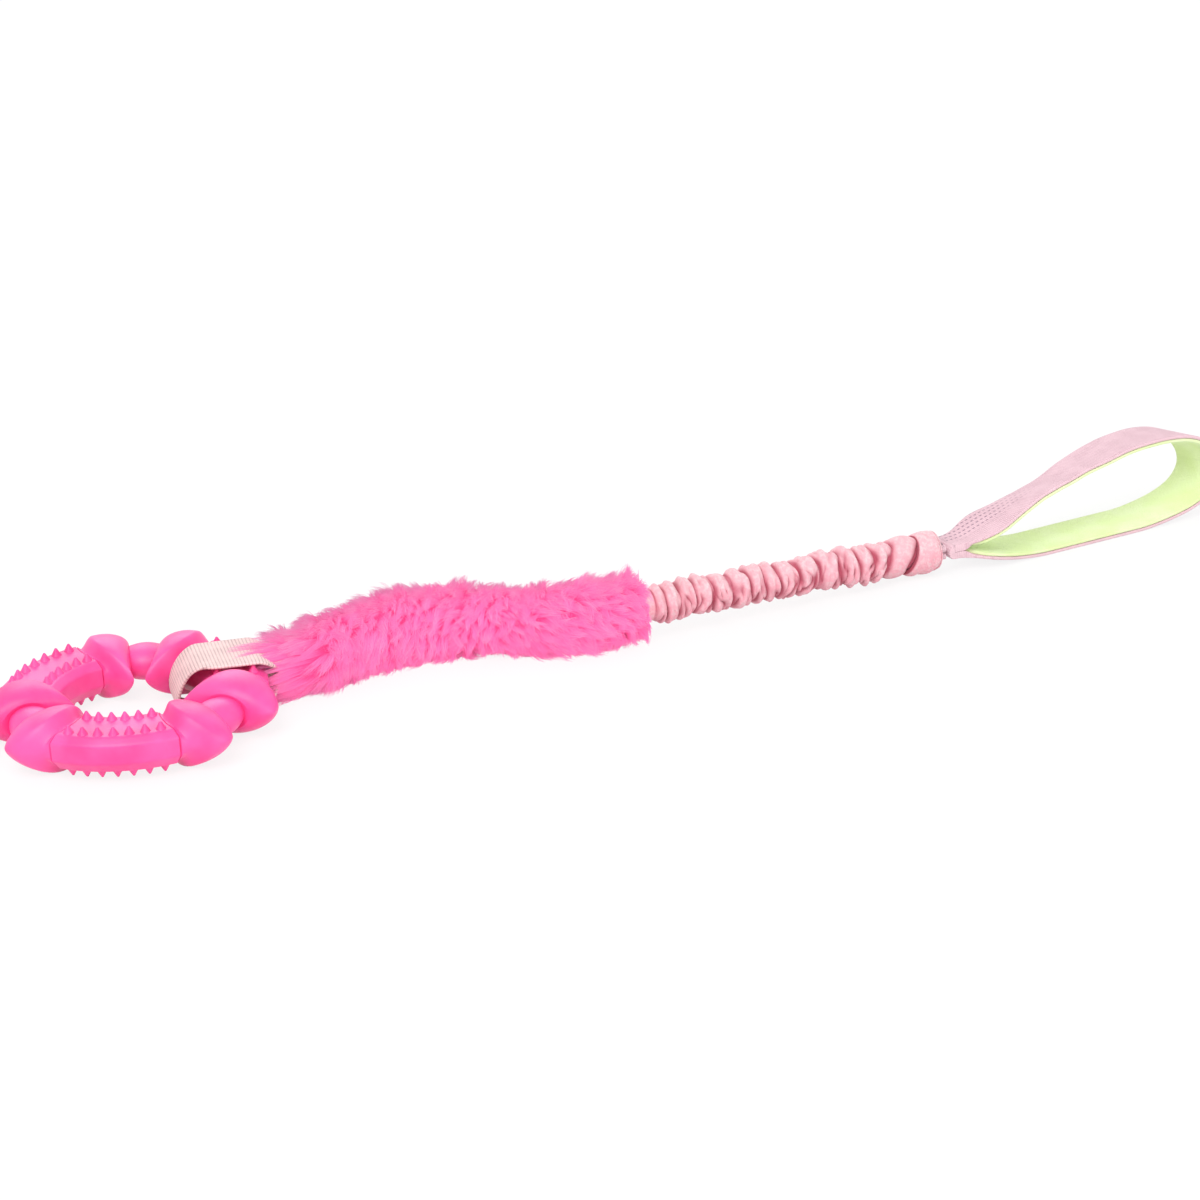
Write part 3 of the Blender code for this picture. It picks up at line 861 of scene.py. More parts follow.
@dataclass
class ChewRing:
    """Moulded ring of three bones, each a spiky shaft between two flared rims, joined by necks."""

    centre: Vector
    radius: float = 0.0415
    bones: int = 3
    turn: float = math.radians(4.4)
    shaft_ends: Colour = (0.0185, 0.0200, 0.0205)
    rim_ends: Colour = (0.0235, 0.0315, 0.0380)
    rim_width: float = 0.0012
    face_crest: float = 0.0372
    neck_start: float = 0.0365
    shaft: tuple[float, float] = (0.0129, 0.0074)
    band_top: float = 0.0046
    band_foot: float = 0.0030
    shoulder: float = 0.0096
    edge_power: float = 60.0
    crease: float = 0.0009
    leaf: float = 1.34
    rim: tuple[float, float] = (0.0195, 0.0124)
    neck_end: tuple[float, float] = (0.0080, 0.0062)
    neck_middle: tuple[float, float] = (0.0094, 0.0074)
    spike_rows: tuple = ((0.0072, 7, 0.0052), (-0.0072, 6, 0.0063))
    spike_profile: tuple = (
        (0.0050, 0.00270), (0.0070, 0.00240), (0.0077, 0.00195), (0.0085, 0.00150), (0.0093, 0.00105),
        (0.0100, 0.00065), (0.0104, 0.00042), (0.0105, 0.00020))
    spike_sides: int = 12
    spike_reach: float = 0.0026
    sides: int = 96
    shaft_part: float = 0.985
    shaft_steps: int = 14
    flare_from: float = 0.03
    flare_steps: int = 16
    facet_fade: float = 5.0
    face_curl: float = 78.0
    face_steps: int = 14
    neck_steps: int = 9
    crisp_angle: float = 28.0

    def rows(self) -> np.ndarray:
        """Sections of half a bone, from its middle to the middle of a neck.

        Returns:
            For each one three distances along the ring, half width, half height, share of the facets and
            power of the leaf shape.
        """
        rows = []
        for share in np.linspace(0.0, self.shaft_part, self.shaft_steps):
            rows.append([*(end * share for end in self.shaft_ends), *self.shaft, 1.0, 1.0])
        rows.append([*self.shaft_ends, *(size - self.crease for size in self.shaft), 1.0, 1.0])
        for share in np.linspace(self.flare_from, 1.0, self.flare_steps):
            swell = float(eased(np.array([share]))[0])
            ends = between(self.shaft_ends, self.rim_ends, share)
            sizes = between(self.shaft, self.rim, swell)
            rows.append([*ends, *sizes, max(0.0, 1 - self.facet_fade * share), 1 + (self.leaf - 1) * share])
        for turn in np.linspace(0.0, self.face_curl, self.face_steps):
            sink, reach = math.cos(math.radians(turn)), math.sin(math.radians(turn))
            ends = [
                end + self.rim_width + (self.face_crest - end - self.rim_width) * reach
                for end in self.rim_ends]
            rows.append([*ends, *between(self.neck_end, self.rim, sink), 0.0, 1 + (self.leaf - 1) * sink])
        middle = math.pi * self.radius / self.bones
        for share in np.linspace(0.0, 1.0, self.neck_steps):
            sizes = between(self.neck_end, self.neck_middle, math.sin(share * math.pi / 2))
            ends = [self.neck_start + (middle - self.neck_start) * share] * 3
            rows.append([*ends, *sizes, 0.0, 1.0])
        return np.array(rows)

    def facet_planes(self) -> list[Pair]:
        """Facets of the shaft.

        Returns:
            Top, bottom, bands and chamfers: the normal of each, divided by its distance.
        """
        wide, high = self.shaft
        planes = [(0.0, 1 / high), (0.0, -1 / high), (1 / wide, 0.0), (-1 / wide, 0.0)]
        for rise, side in ((self.band_top, 1), (self.band_foot, -1)):
            normal = Vector((high - rise, wide - self.shoulder)).normalized()
            reach = normal.dot(Vector((wide, rise)))
            for turn in (1, -1):
                planes.append((turn * normal.x / reach, side * normal.y / reach))
        return planes

    def body(self) -> bmesh.types.BMesh:
        """The ring without its spikes.

        Returns:
            The mesh.
        """
        rows = self.rows()
        third = 2 * math.pi / self.bones
        order = [(-1, i) for i in range(len(rows) - 2, 0, -1)] + [(1, i) for i in range(len(rows))]
        sections = np.array([
            (bone * third + self.turn, side, *rows[i]) for bone in range(self.bones) for side, i in order])
        planes = self.facet_planes()

        def place(around: np.ndarray, share: np.ndarray) -> np.ndarray:
            """Point for each place.

            Args:
                around: shares round the section.
                share: shares along the ring.

            Returns:
                The points.
            """
            pick = sections[np.rint(share * len(sections)).astype(int) % len(sections)]
            middle, side, top, outer, inner, half_width, half_height, facets, leaf = pick.T
            angle = 2 * math.pi * around
            across = half_width * np.cos(angle)
            up = half_height * np.sign(np.sin(angle)) * np.abs(np.sin(angle)) ** leaf
            ratio = half_width / self.shaft[0]
            reach = sum(
                np.maximum((x * across + z * up) / ratio, 0.0) ** self.edge_power for x, z in planes)
            crisp = reach ** (-1 / self.edge_power)
            scale = 1 + (crisp - 1) * facets
            across, up = across * scale, up * scale
            lean = (across / half_width) ** 2
            along = top + (np.where(across > 0, outer, inner) - top) * np.minimum(lean, 1.0)
            turned = middle + side * along / self.radius
            arm = self.radius + across
            local = np.stack([arm * np.cos(turned), arm * np.sin(turned), up], 1)
            return local + np.array(self.centre)

        return shaped_grid(self.sides, len(sections), place, {})

    def spikes(self) -> bmesh.types.BMesh:
        """All spikes, each a turned cone with a hollow flank and a blunt tip.

        Returns:
            The mesh.
        """
        bm = bmesh.new()
        third = 2 * math.pi / self.bones
        for bone in range(self.bones):
            for offset, count, pitch in self.spike_rows:
                for spike in range(count):
                    angle = self.turn + bone * third + (spike - (count - 1) / 2) * pitch / self.radius
                    arm = Vector((math.cos(angle), math.sin(angle), 0)) * (self.radius + offset)
                    for side in (1, -1):
                        self.spike(bm, arm + self.centre, side)
        return bm

    def spike(self, bm: bmesh.types.BMesh, foot: Vector, side: int) -> None:
        """Add one spike.

        Args:
            bm: mesh to add to.
            foot: point of the ring's middle plane under it.
            side: 1 above, -1 below.
        """
        profile = [
            bm.verts.new(foot + Vector((radius, 0, side * height)))
            for height, radius in self.spike_profile]
        edges = [bm.edges.new(pair) for pair in zip(profile, profile[1:])]
        bmesh.ops.spin(
            bm, geom=profile + edges, cent=foot, axis=(0, 0, 1), dvec=(0, 0, 0), angle=2 * math.pi,
            steps=self.spike_sides, use_merge=True)
        middle = foot.xy
        near = [
            vert for vert in bm.verts
            if (vert.co.xy - middle).length < self.spike_reach and (vert.co.z - foot.z) * side > 0]
        bmesh.ops.remove_doubles(bm, verts=near, dist=WELD_DISTANCE)
        rims = [edge for vert in near if vert.is_valid for edge in vert.link_edges if edge.is_boundary]
        bmesh.ops.holes_fill(bm, edges=list(set(rims)), sides=0)

    def build(self, material: bpy.types.Material) -> bpy.types.Object:
        """Build the ring with its spikes joined on and its feet flat.

        Args:
            material: the rubber.

        Returns:
            The ring.
        """
        ring = finished("chew_ring_rubber", self.body(), material, self.crisp_angle)
        spikes = self.spikes()
        bmesh.ops.recalc_face_normals(spikes, faces=spikes.faces)
        join_solid(ring, finished("spikes_joined", spikes, material))
        bm = bmesh.new()
        bm.from_mesh(ring.data)
        bmesh.ops.bisect_plane(
            bm, geom=bm.verts[:] + bm.edges[:] + bm.faces[:], plane_co=(0, 0, 0), plane_no=(0, 0, -1),
            clear_outer=True)
        bmesh.ops.holes_fill(bm, edges=[edge for edge in bm.edges if edge.is_boundary], sides=0)
        bm.to_mesh(ring.data)
        bm.free()
        ring.data.shade_smooth()
        ring.data.set_sharp_from_angle(angle=math.radians(self.crisp_angle))
        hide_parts("chew_ring")
        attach(ring, Body.RING.value)
        return ring


def join_solid(item: bpy.types.Object, other: bpy.types.Object) -> None:
    """Join a piece with another and remove the other.

    Args:
        item: piece that stays.
        other: piece that is used up.
    """
    modifier = item.modifiers.new("joined", "BOOLEAN")
    modifier.operation = "UNION"
    modifier.solver = "EXACT"
    modifier.use_self = True
    modifier.object = other
    depsgraph = bpy.context.evaluated_depsgraph_get()
    result = bpy.data.meshes.new_from_object(item.evaluated_get(depsgraph))
    item.modifiers.clear()
    item.data = result
    bpy.data.objects.remove(other, do_unlink=True)


@dataclass
class RingStrap:
    """Webbing loop round one bone, pinched at the throat."""

    throat: Vector
    heading: Vector
    width: float = 0.0236
    throat_width: float = 0.0176
    pinch: float = 0.010
    near_step: float = 0.0009
    near_reach: float = 0.0044
    near_span: Pair = (0.002, 0.042)
    near_ease: Pair = (0.010, 0.014)
    near_rise: float = 0.006
    thickness: float = 0.0013
    half_height: float = 0.01145
    back_reach: float = 0.0228
    back_drop: float = 0.0036
    shoulder_reach: float = 0.0110
    shoulder_rise: float = 0.0006
    front_reach: float = 0.0095
    throat_reach: float = 0.0225
    throat_rise: float = 0.0020
    ply_offset: float = 0.00095
    ply_pull: Pair = (0.0040, 0.0002)
    front_pull: float = 0.0050
    shoulder_pull: float = 0.0052
    back_pull: float = 0.0075
    fold_turns: tuple = (-60, -30, 0, 30, 60)
    steps: int = 10

    def route(self) -> list[Vector]:
        """Middle line in the strap's upright plane, from the throat's upper ply round the bone.

        Returns:
            Its points.
        """
        rise = Vector((0, 0, self.half_height))
        bone = Vector((-self.throat_reach, 0, -self.throat_rise))
        ply = Vector((0, 0, self.ply_offset))
        front = Vector((self.front_reach, 0, 0))
        shoulder = Vector((-self.shoulder_reach, 0, 0))
        lift = Vector((0, 0, self.shoulder_rise))
        ply_run, ply_rise = self.ply_pull
        knots = [
            (ply, Vector((-ply_run, 0, ply_rise))),
            (bone + front + rise, Vector((-self.front_pull, 0, 0))),
            (bone + shoulder + rise + lift, Vector((-self.shoulder_pull, 0, 0))),
            (bone + Vector((-self.back_reach, 0, -self.back_drop)), Vector((0, 0, -self.back_pull))),
            (bone + shoulder - rise, Vector((self.shoulder_pull, 0, 0))),
            (bone + front - rise, Vector((self.front_pull, 0, 0))),
            (-ply, Vector((ply_run, 0, ply_rise))),
        ]
        route = bezier_route(knots, self.steps)
        reach = self.ply_offset
        for turn in self.fold_turns:
            angle = math.radians(turn)
            route.append(Vector((reach * math.cos(angle), 0, reach * math.sin(angle))))
        return route

    def half_widths(self, route: np.ndarray) -> np.ndarray:
        """Half width, which narrows at the throat."""
        share = eased(-route[:, 0] / self.pinch)
        return (self.throat_width + (self.width - self.throat_width) * share) / 2

    def near_extra(self, route: np.ndarray) -> np.ndarray:
        """Further reach of the near edge over the bone, where the outer side leaves it room.

        Args:
            route: points of the strap's middle line.

        Returns:
            The reach at each point.
        """
        first, last = self.near_span
        grow, fade = self.near_ease
        over_bone = eased((-route[:, 0] - first) / grow) * eased((route[:, 0] + last) / fade)
        return self.near_reach * over_bone * eased(route[:, 2] / self.near_rise)

    def build(self, material: bpy.types.Material) -> bpy.types.Object:
        """Build the strap.

        Args:
            material: the webbing.

        Returns:
            The strap.
        """
        route = np.array(self.route())
        extra = self.near_extra(route)
        half_widths = self.half_widths(route) + extra / 2
        route[:, 1] -= self.near_step * eased(-route[:, 0] / self.pinch) + extra / 2
        sides = np.tile((0.0, 1.0, 0.0), (len(route), 1))
        bm = Band(self.thickness).build(route, sides, half_widths, closed=True)
        bmesh.ops.transform(bm, verts=bm.verts, matrix=axes_matrix(self.throat, self.heading))
        strap = finished("ring_strap_webbing", bm, material)
        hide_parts("ring_strap")
        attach(strap, Body.STRAP.value)
        return strap


@dataclass
class FurTube:
    """Faux-fur tube: a knitted backing and long pile in locks."""

    throat: Vector
    heading: Vector
    end: Vector
    ring_centre: Vector
    radii: tuple = (
        0.0142, 0.0164, 0.0164, 0.0163, 0.0170, 0.0172, 0.0160, 0.0150, 0.0146, 0.0156, 0.0162, 0.0148,
        0.0126)
    way_points: tuple = (
        (0.0930, 0.0046), (0.1220, 0.0071), (0.1480, -0.0019), (0.1730, -0.0169), (0.1950, -0.0234))
    start_gap: float = 0.0024
    end_lip: float = 0.0015
    backing_width: float = 0.0122
    backing_height: float = 0.0056
    mouth_height: float = 0.0098
    mouth_radius: float = 0.0086
    backing_wall: float = 0.0008
    backing_share: float = 0.72
    backing_steps: tuple[int, int] = (48, 79)
    route_steps: int = 24
    start_ease: float = 0.016
    tail_width: float = 0.0106
    tail_span: Pair = (0.022, 0.014)
    drawn_length: float = 0.007
    strands: int = 72000
    pieces: int = 8
    sweep: float = 0.0085
    locks: int = 2100
    lock_pull: Pair = (0.10, 0.80)
    lock_turn: float = 0.55
    lock_reach: Pair = (0.55, 1.25)
    lock_height: Pair = (0.90, 1.07)
    lock_swell: WaveField = WaveField(5, 0.018, 5, 0.08)
    swell_limits: Pair = (0.90, 1.1)
    own_reach: Pair = (0.55, 1.25)
    own_height: Pair = (0.86, 1.08)
    own_tint: Pair = (-0.15, 0.15)
    run_start: float = -1.15
    run_change: float = 2.1
    run_span: Pair = (0.22, 0.62)
    run_waves: WaveField = WaveField(3, 0.050, 2, 0.30)
    round_start: float = 0.55
    round_swing: float = 0.80
    round_waves: WaveField = WaveField(4, 0.045, 2, 0.40)
    flow_slack: float = 0.15
    strand_radius: float = 0.00023
    strand_sides: int = 3
    strand_tip: float = 0.12
    strand_knees: Pair = (0.4, 0.75)
    strand_side: Colour = (0.31, 0.17, 0.93)
    bend_share: float = 0.35
    bend_height: float = 0.93
    mouth_reach: float = 1.30
    mouth_length: float = 0.012
    mouth_pull: float = 0.95
    mouth_calm: float = 0.6
    ragged_mean: float = 0.58
    ragged_waves: WaveField = WaveField(7, 0.010, 8, 0.45)
    ragged_limits: Pair = (0.25, 1.0)
    cover: float = 2.1
    cover_turn: float = 0.45
    flare: float = 0.27
    flare_span: Pair = (0.024, 0.014)
    light_wrap: float = 0.5
    outward_wrap: float = 0.7
    tint_least: float = 0.1
    tint_light: float = 0.6
    tint_tail: float = 0.4
    tail_light_span: Pair = (0.014, 0.010)
    pile_end: float = 0.0075
    end_slack: float = 0.15
    short_of_end: float = 0.0055
    seed: int = 11
    route: np.ndarray = field(init=False)
    tangents: np.ndarray = field(init=False)
    distances: np.ndarray = field(init=False)

    def __post_init__(self) -> None:
        """Work out the tube's middle line, with way points that are given from the ring's centre."""
        centre = self.ring_centre
        ways = [Vector((centre.x + x, centre.y + y, self.end.z)) for x, y in self.way_points]
        points = [self.throat, *ways, self.end]
        self.route = np.array(smooth_route(points, self.heading, Vector((1, 0, 0)), self.route_steps))
        steps = np.linalg.norm(np.diff(self.route, axis=0), axis=1)
        self.distances = np.concatenate([[0.0], np.cumsum(steps)])
        self.tangents = unit_rows(np.gradient(self.route, axis=0))

    @property
    def length(self) -> float:
        """Length of the tube."""
        return self.distances[-1] + self.end_lip - self.start_gap

    def frame_at(self, along: np.ndarray) -> tuple[np.ndarray, np.ndarray, np.ndarray]:
        """Middle point, direction and side at distances from the tube's mouth.

        Args:
            along: distances from the mouth; some may lie past the ends.

        Returns:
            Points, unit directions and unit sides.
        """
        target = along + self.start_gap
        points, heading = (
            np.stack([np.interp(target, self.distances, column) for column in table.T], 1)
            for table in (self.route, self.tangents))
        heading = unit_rows(heading)
        beyond = target - np.clip(target, 0.0, self.distances[-1])
        points = points + heading * beyond[:, None]
        side = np.stack([-heading[:, 1], heading[:, 0], np.zeros(len(heading))], 1)
        return points, heading, side

    def from_end(self, along: np.ndarray, span: Pair) -> np.ndarray:
        """Ease from 0 to 1 near the tube's end.

        Args:
            along: distances from the mouth.
            span: how far before the end it starts, and over what length it grows.

        Returns:
            The eased shares.
        """
        return eased((along - self.length + span[0]) / span[1])

    def envelope(self, along: np.ndarray) -> np.ndarray:
        """Outer radius of the pile at distances from the mouth.

        Args:
            along: distances from the mouth.

        Returns:
            The radii.
        """
        share = np.clip(along / self.length, 0.0, 1.0) * (len(self.radii) - 1)
        index = np.minimum(share.astype(int), len(self.radii) - 2)
        table = np.array(self.radii)
        return table[index] + (table[index + 1] - table[index]) * eased(share - index)

    def core(self, along: np.ndarray) -> tuple[np.ndarray, np.ndarray]:
        """Section of the backing.

        Args:
            along: distances from the mouth.

        Returns:
            Half widths and half heights.
        """
        full = self.envelope(along) * self.backing_share
        start = eased(along / self.start_ease)
        share = self.from_end(along, self.tail_span)
        width = np.maximum(full, self.backing_width) * (1 - share) + self.tail_width * share
        height = self.backing_height + (full - self.backing_height) * start
        height = height * (1 - share) + self.mouth_height * share
        drawn = self.from_end(along, (self.short_of_end + self.drawn_length, self.drawn_length))
        return width + (self.mouth_radius - width) * drawn, height + (self.mouth_radius - height) * drawn

    def backing(self, material: bpy.types.Material) -> bpy.types.Object:
        """Knitted tube that the pile grows on.

        Args:
            material: the knit.

        Returns:
            The backing.
        """
        def run(share: np.ndarray) -> np.ndarray:
            """Share of the tube's length, on the way out along its outside and back along its inside."""
            return np.where(share < 0.5, share * 2, (1 - share) * 2)

        def place(around: np.ndarray, share: np.ndarray) -> np.ndarray:
            """Point for each place.

            Args:
                around: shares round the section.
                share: shares along the outside and back along the inside.

            Returns:
                The points.
            """
            reach = run(share) * (self.length - self.short_of_end)
            wall = np.where(share < 0.5, 0.0, self.backing_wall)
            return self.on_core(reach, 2 * math.pi * around, wall)

        def along(around: np.ndarray, share: np.ndarray) -> np.ndarray:
            """Distance along the tube."""
            return run(share) * self.length

        round_steps, steps = self.backing_steps
        bm = shaped_grid(round_steps, steps * 2 + 1, place, {"along": along})
        backing = finished("fur_backing", bm, material)
        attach(backing, Body.FUR.value)
        return backing

    def strand_shape(self) -> tuple[np.ndarray, list[list[int]]]:
        """One strand of unit length and radius.

        Returns:
            Its points and its faces.
        """
        bm = bmesh.new()
        bmesh.ops.create_cone(
            bm, cap_ends=True, segments=self.strand_sides, radius1=1.0, radius2=self.strand_tip, depth=1.0)
        bmesh.ops.translate(bm, verts=bm.verts, vec=(0, 0, 0.5))
        for height in self.strand_knees:
            bmesh.ops.bisect_plane(
                bm, geom=bm.verts[:] + bm.edges[:] + bm.faces[:], plane_co=(0, 0, height),
                plane_no=(0, 0, 1))
        bmesh.ops.recalc_face_normals(bm, faces=bm.faces)
        bm.verts.index_update()
        points = np.array([vert.co for vert in bm.verts])
        faces = [[vert.index for vert in face.verts] for face in bm.faces]
        bm.free()
        return points, faces

    def roots(self) -> tuple[np.ndarray, np.ndarray, np.random.Generator]:
        """Even random roots.

        Returns:
            Distances along, angles round, and the draw to go on with.
        """
        draw = np.random.default_rng(self.seed)
        along = draw.uniform(0.0, self.length - self.short_of_end, self.strands)
        angle = draw.uniform(0.0, 2 * math.pi, self.strands)
        return along, angle, draw

    def flow(self, along: np.ndarray, angle: np.ndarray) -> tuple[np.ndarray, np.ndarray]:
        """Direction that the pile is brushed in: along the tube and round it.

        It points to the mouth near the strap, turns over the front to the bungee's side, and nowhere in sight
        stands still, so the pile shows no partings.

        Args:
            along: distances from the mouth.
            angle: angles round the tube.

        Returns:
            Both parts of the direction.
        """
        first, span = self.run_span
        run = self.run_start + self.run_change * eased((along / self.length - first) / span)
        flow_along = run + self.run_waves.at(along, angle)
        lean = self.round_start - self.round_swing * np.cos(angle)
        flow_round = lean + self.round_waves.at(along, angle)
        size = np.hypot(flow_along, flow_round) + self.flow_slack
        return flow_along / size, flow_round / size

    def paths(self) -> tuple[np.ndarray, ...]:
        """Shape of every strand.

        Returns:
            Root, bend and tip, the way out from the tube at the tip, and the tint.
        """
        along, angle, draw = self.roots()
        lock, seed_along, seed_angle = self.nearest_lock(along, angle, draw)
        step_along, step_round, rise, light = self.lock_forms(seed_along, seed_angle, draw)
        pull = draw.uniform(*self.lock_pull, self.strands)
        own = draw.uniform(*self.own_reach, self.strands)
        near = 1 - eased(along / self.mouth_length)
        pull = pull + (self.mouth_pull - pull) * self.mouth_calm * near
        own = own + (1.0 - own) * self.mouth_calm * near
        tip_along = along + step_along[lock] * own + (seed_along[lock] - along) * pull
        limit = self.length - self.pile_end
        tip_along = np.where(tip_along > limit, limit + self.end_slack * (tip_along - limit), tip_along)
        tip_angle = angle + step_round[lock] * own + (seed_angle[lock] - angle) * pull
        own_height = draw.uniform(*self.own_height, self.strands)
        tip_radius = self.envelope(tip_along) * rise[lock] * own_height
        root = self.on_core(along, angle)
        bend = self.on_tube(
            along + (tip_along - along) * self.bend_share, angle + (tip_angle - angle) * self.bend_share,
            tip_radius * self.bend_height)
        tip = self.on_tube(tip_along, tip_angle, tip_radius)
        side = self.frame_at(tip_along)[2]
        outward = side * np.cos(tip_angle)[:, None] + np.array(UP) * np.sin(tip_angle)[:, None]
        tail = self.from_end(along, self.tail_light_span)
        own_tint = draw.uniform(*self.own_tint, self.strands)
        tint = self.tint_least + self.tint_light * light[lock] + self.tint_tail * tail + own_tint
        return root, bend, tip, outward, np.clip(tint, 0.0, 1.0)

    def nearest_lock(self, along: np.ndarray, angle: np.ndarray, draw: np.random.Generator) -> tuple:
        """Give each strand the lock whose middle lies nearest.

        Args:
            along: distances of the roots.
            angle: angles of the roots.
            draw: random draw.

        Returns:
            Each strand's lock, and the locks' distances and angles, some a full turn away so that none meets
            a seam.
        """
        turn = 2 * math.pi
        seed_along = np.tile(draw.uniform(0.0, self.length, self.locks), 3)
        first = draw.uniform(0.0, turn, self.locks)
        seed_angle = np.concatenate([first - turn, first, first + turn])
        mean = sum(self.radii) / len(self.radii)
        tree = KDTree(len(seed_along))
        for index, (run, way) in enumerate(zip(seed_along, seed_angle)):
            tree.insert((run, way * mean, 0.0), index)
        tree.balance()
        lock = np.array([tree.find((run, way * mean, 0.0))[1] for run, way in zip(along, angle)])
        return lock, seed_along, seed_angle

    def lock_forms(self, along: np.ndarray, angle: np.ndarray, draw: np.random.Generator) -> tuple:
        """Lean, height and light of every lock.

        Args:
            along: distances of the locks.
            angle: their angles.
            draw: random draw.

        Returns:
            Steps of the tip along the tube and round it, share of the envelope, and share of light.
        """
        flow_along, flow_round = self.flow(along, angle)
        turned = draw.normal(0.0, self.lock_turn, len(along))
        cosine, sine = np.cos(turned), np.sin(turned)
        reach = self.sweep * draw.uniform(*self.lock_reach, len(along))
        mouth = 1 - eased(along / self.mouth_length)
        ragged = np.clip(self.ragged_mean + self.ragged_waves.at(along, angle), *self.ragged_limits)
        cover = 1 + self.cover * eased(0.5 - 0.5 * np.cos(angle - self.cover_turn))
        toward_mouth = self.mouth_reach * mouth * ragged * cover
        step_along = (flow_along * cosine - flow_round * sine - toward_mouth) * reach
        step_round = (flow_along * sine + flow_round * cosine) * reach / self.envelope(along)
        swell = np.clip(1 + self.lock_swell.at(along, angle), *self.swell_limits)
        flare = self.from_end(along, self.flare_span) * eased(0.5 + np.sin(angle))
        height = draw.uniform(*self.lock_height, len(along))
        rise = swell * height * (1 + self.flare * flare * ragged)
        return step_along, step_round, rise, draw.uniform(0.0, 1.0, len(along))

    def around(
            self, along: np.ndarray, angle: np.ndarray, width: np.ndarray,
            height: np.ndarray) -> np.ndarray:
        """Points round the tube's middle line.

        Args:
            along: distances from the mouth.
            angle: angles round the tube.
            width: half width of the section there.
            height: half height of the section there.

        Returns:
            The points.
        """
        points, _, side = self.frame_at(along)
        across, up = width * np.cos(angle), height * np.sin(angle)
        return points + side * across[:, None] + np.array(UP) * up[:, None]

    def on_core(self, along: np.ndarray, angle: np.ndarray, wall: object = 0.0) -> np.ndarray:
        """Points on the backing, or as deep as a wall's thickness under it."""
        width, height = self.core(along)
        return self.around(along, angle, width - wall, height - wall)

    def on_tube(self, along: np.ndarray, angle: np.ndarray, radius: np.ndarray) -> np.ndarray:
        """Points round the tube's middle line, no lower than the floor.

        Args:
            along: distances from the mouth.
            angle: angles round the tube.
            radius: distances from the middle line.

        Returns:
            The points.
        """
        placed = self.around(along, angle, radius, radius)
        placed[:, 2] = np.maximum(placed[:, 2], FLOOR_CLEARANCE)
        return placed

    def pile(self, material: bpy.types.Material) -> list[bpy.types.Object]:
        """Long pile, in pieces along the tube.

        Args:
            material: the pile's material.

        Returns:
            The pieces.
        """
        root, bend, tip, outward, tint = self.paths()
        shape, faces = self.strand_shape()
        share = shape[:, 2]
        weights = np.stack([(1 - share) ** 2, 2 * share * (1 - share), share ** 2], 1)
        line = np.einsum("vk,ksc->svc", weights, np.stack([root, bend, tip]))
        chord = tip - root
        side = np.cross(chord, np.array(self.strand_side))
        side /= np.linalg.norm(side, axis=1)[:, None] + TINY
        other = np.cross(chord, side)
        other /= np.linalg.norm(other, axis=1)[:, None] + TINY
        x, y = (column[None, :, None] for column in shape.T[:2])
        spread = x * side[:, None, :] + y * other[:, None, :]
        points = line + spread * self.strand_radius
        lit = outward * self.outward_wrap + np.array(UP) * self.light_wrap
        normals = unit_rows(lit[:, None, :] + spread)
        order = np.argsort(root[:, 0])
        made = []
        for number, group in enumerate(np.array_split(order, self.pieces)):
            made.append(self.pile_piece(
                f"fur_pile_{number + 1}", points[group], normals[group], tint[group], share, faces, material))
        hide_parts("fur_sleeve")
        return made

    def pile_piece(
            self, name: str, points: np.ndarray, normals: np.ndarray, tint: np.ndarray, share: np.ndarray,
            faces: list[list[int]], material: bpy.types.Material) -> bpy.types.Object:
        """One stretch of the pile, as copies of the strand's shape.

        Args:
            name: name of the piece.
            points: points of each strand.
            normals: directions that the pile is shaded by.
            tint: tint of each strand.
            share: share from root to tip of the strand's points.
            faces: faces of one strand.
            material: the pile's material.

        Returns:
            The piece.
        """
        count, size = points.shape[:2]
        loops = np.concatenate([np.array(face) for face in faces])
        starts = np.cumsum([0] + [len(face) for face in faces[:-1]])
        mesh = bpy.data.meshes.new(name)
        mesh.vertices.add(count * size)
        mesh.loops.add(count * len(loops))
        mesh.polygons.add(count * len(faces))
        mesh.vertices.foreach_set("co", points.reshape(-1).astype(np.float32))
        offsets = np.arange(count)[:, None]
        mesh.loops.foreach_set("vertex_index", (loops[None, :] + offsets * size).reshape(-1))
        mesh.polygons.foreach_set("loop_start", (starts[None, :] + offsets * len(loops)).reshape(-1))
        mesh.update(calc_edges=True)
        mesh.validate()
        for key, values in (("tip", np.tile(share, count)), ("tint", np.repeat(tint, size))):
            mesh.attributes.new(key, "FLOAT", "POINT").data.foreach_set("value", values.astype(np.float32))
        mesh.shade_smooth()
        mesh.normals_split_custom_set_from_vertices(normals.reshape(-1, 3))
        mesh.materials.append(material)
        item = bpy.data.objects.new(name, mesh)
        item.visible_shadow = False
        bpy.context.scene.collection.objects.link(item)
        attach(item, Body.FUR.value)
        return item


@dataclass(frozen=True)
class Creases:
    """One set of creases across the sleeve's folds, which come and go round it."""

    rate: float
    shift: WaveField
    patches: WaveField
    patch_mean: float
    back_share: float
    depth: float
    offset: float = 0.5
    power: float = 0.5

    def factor(
            self, phase: np.ndarray, front: np.ndarray, reach: np.ndarray,
            angle: np.ndarray) -> np.ndarray:
        """Share of a fold's height that the creases leave.

        Args:
            phase: place in the row of folds, which grows by 1 with each fold.
            front: 1 on the sleeve's front and 0 on its back.
            reach: distances from the sleeve's start.
            angle: angles round it.

        Returns:
            One share for each place.
        """
        turn = self.rate * phase + self.offset + self.shift.at(reach, angle)
        ridge = np.abs(np.sin(math.pi * turn)) ** self.power
        patch = self.patch_mean + (1 - self.patch_mean) * np.tanh(self.patches.at(reach, angle))
        mask = patch * (self.back_share + (1 - self.back_share) * front)
        return 1 - self.depth * mask * (1 - ridge)


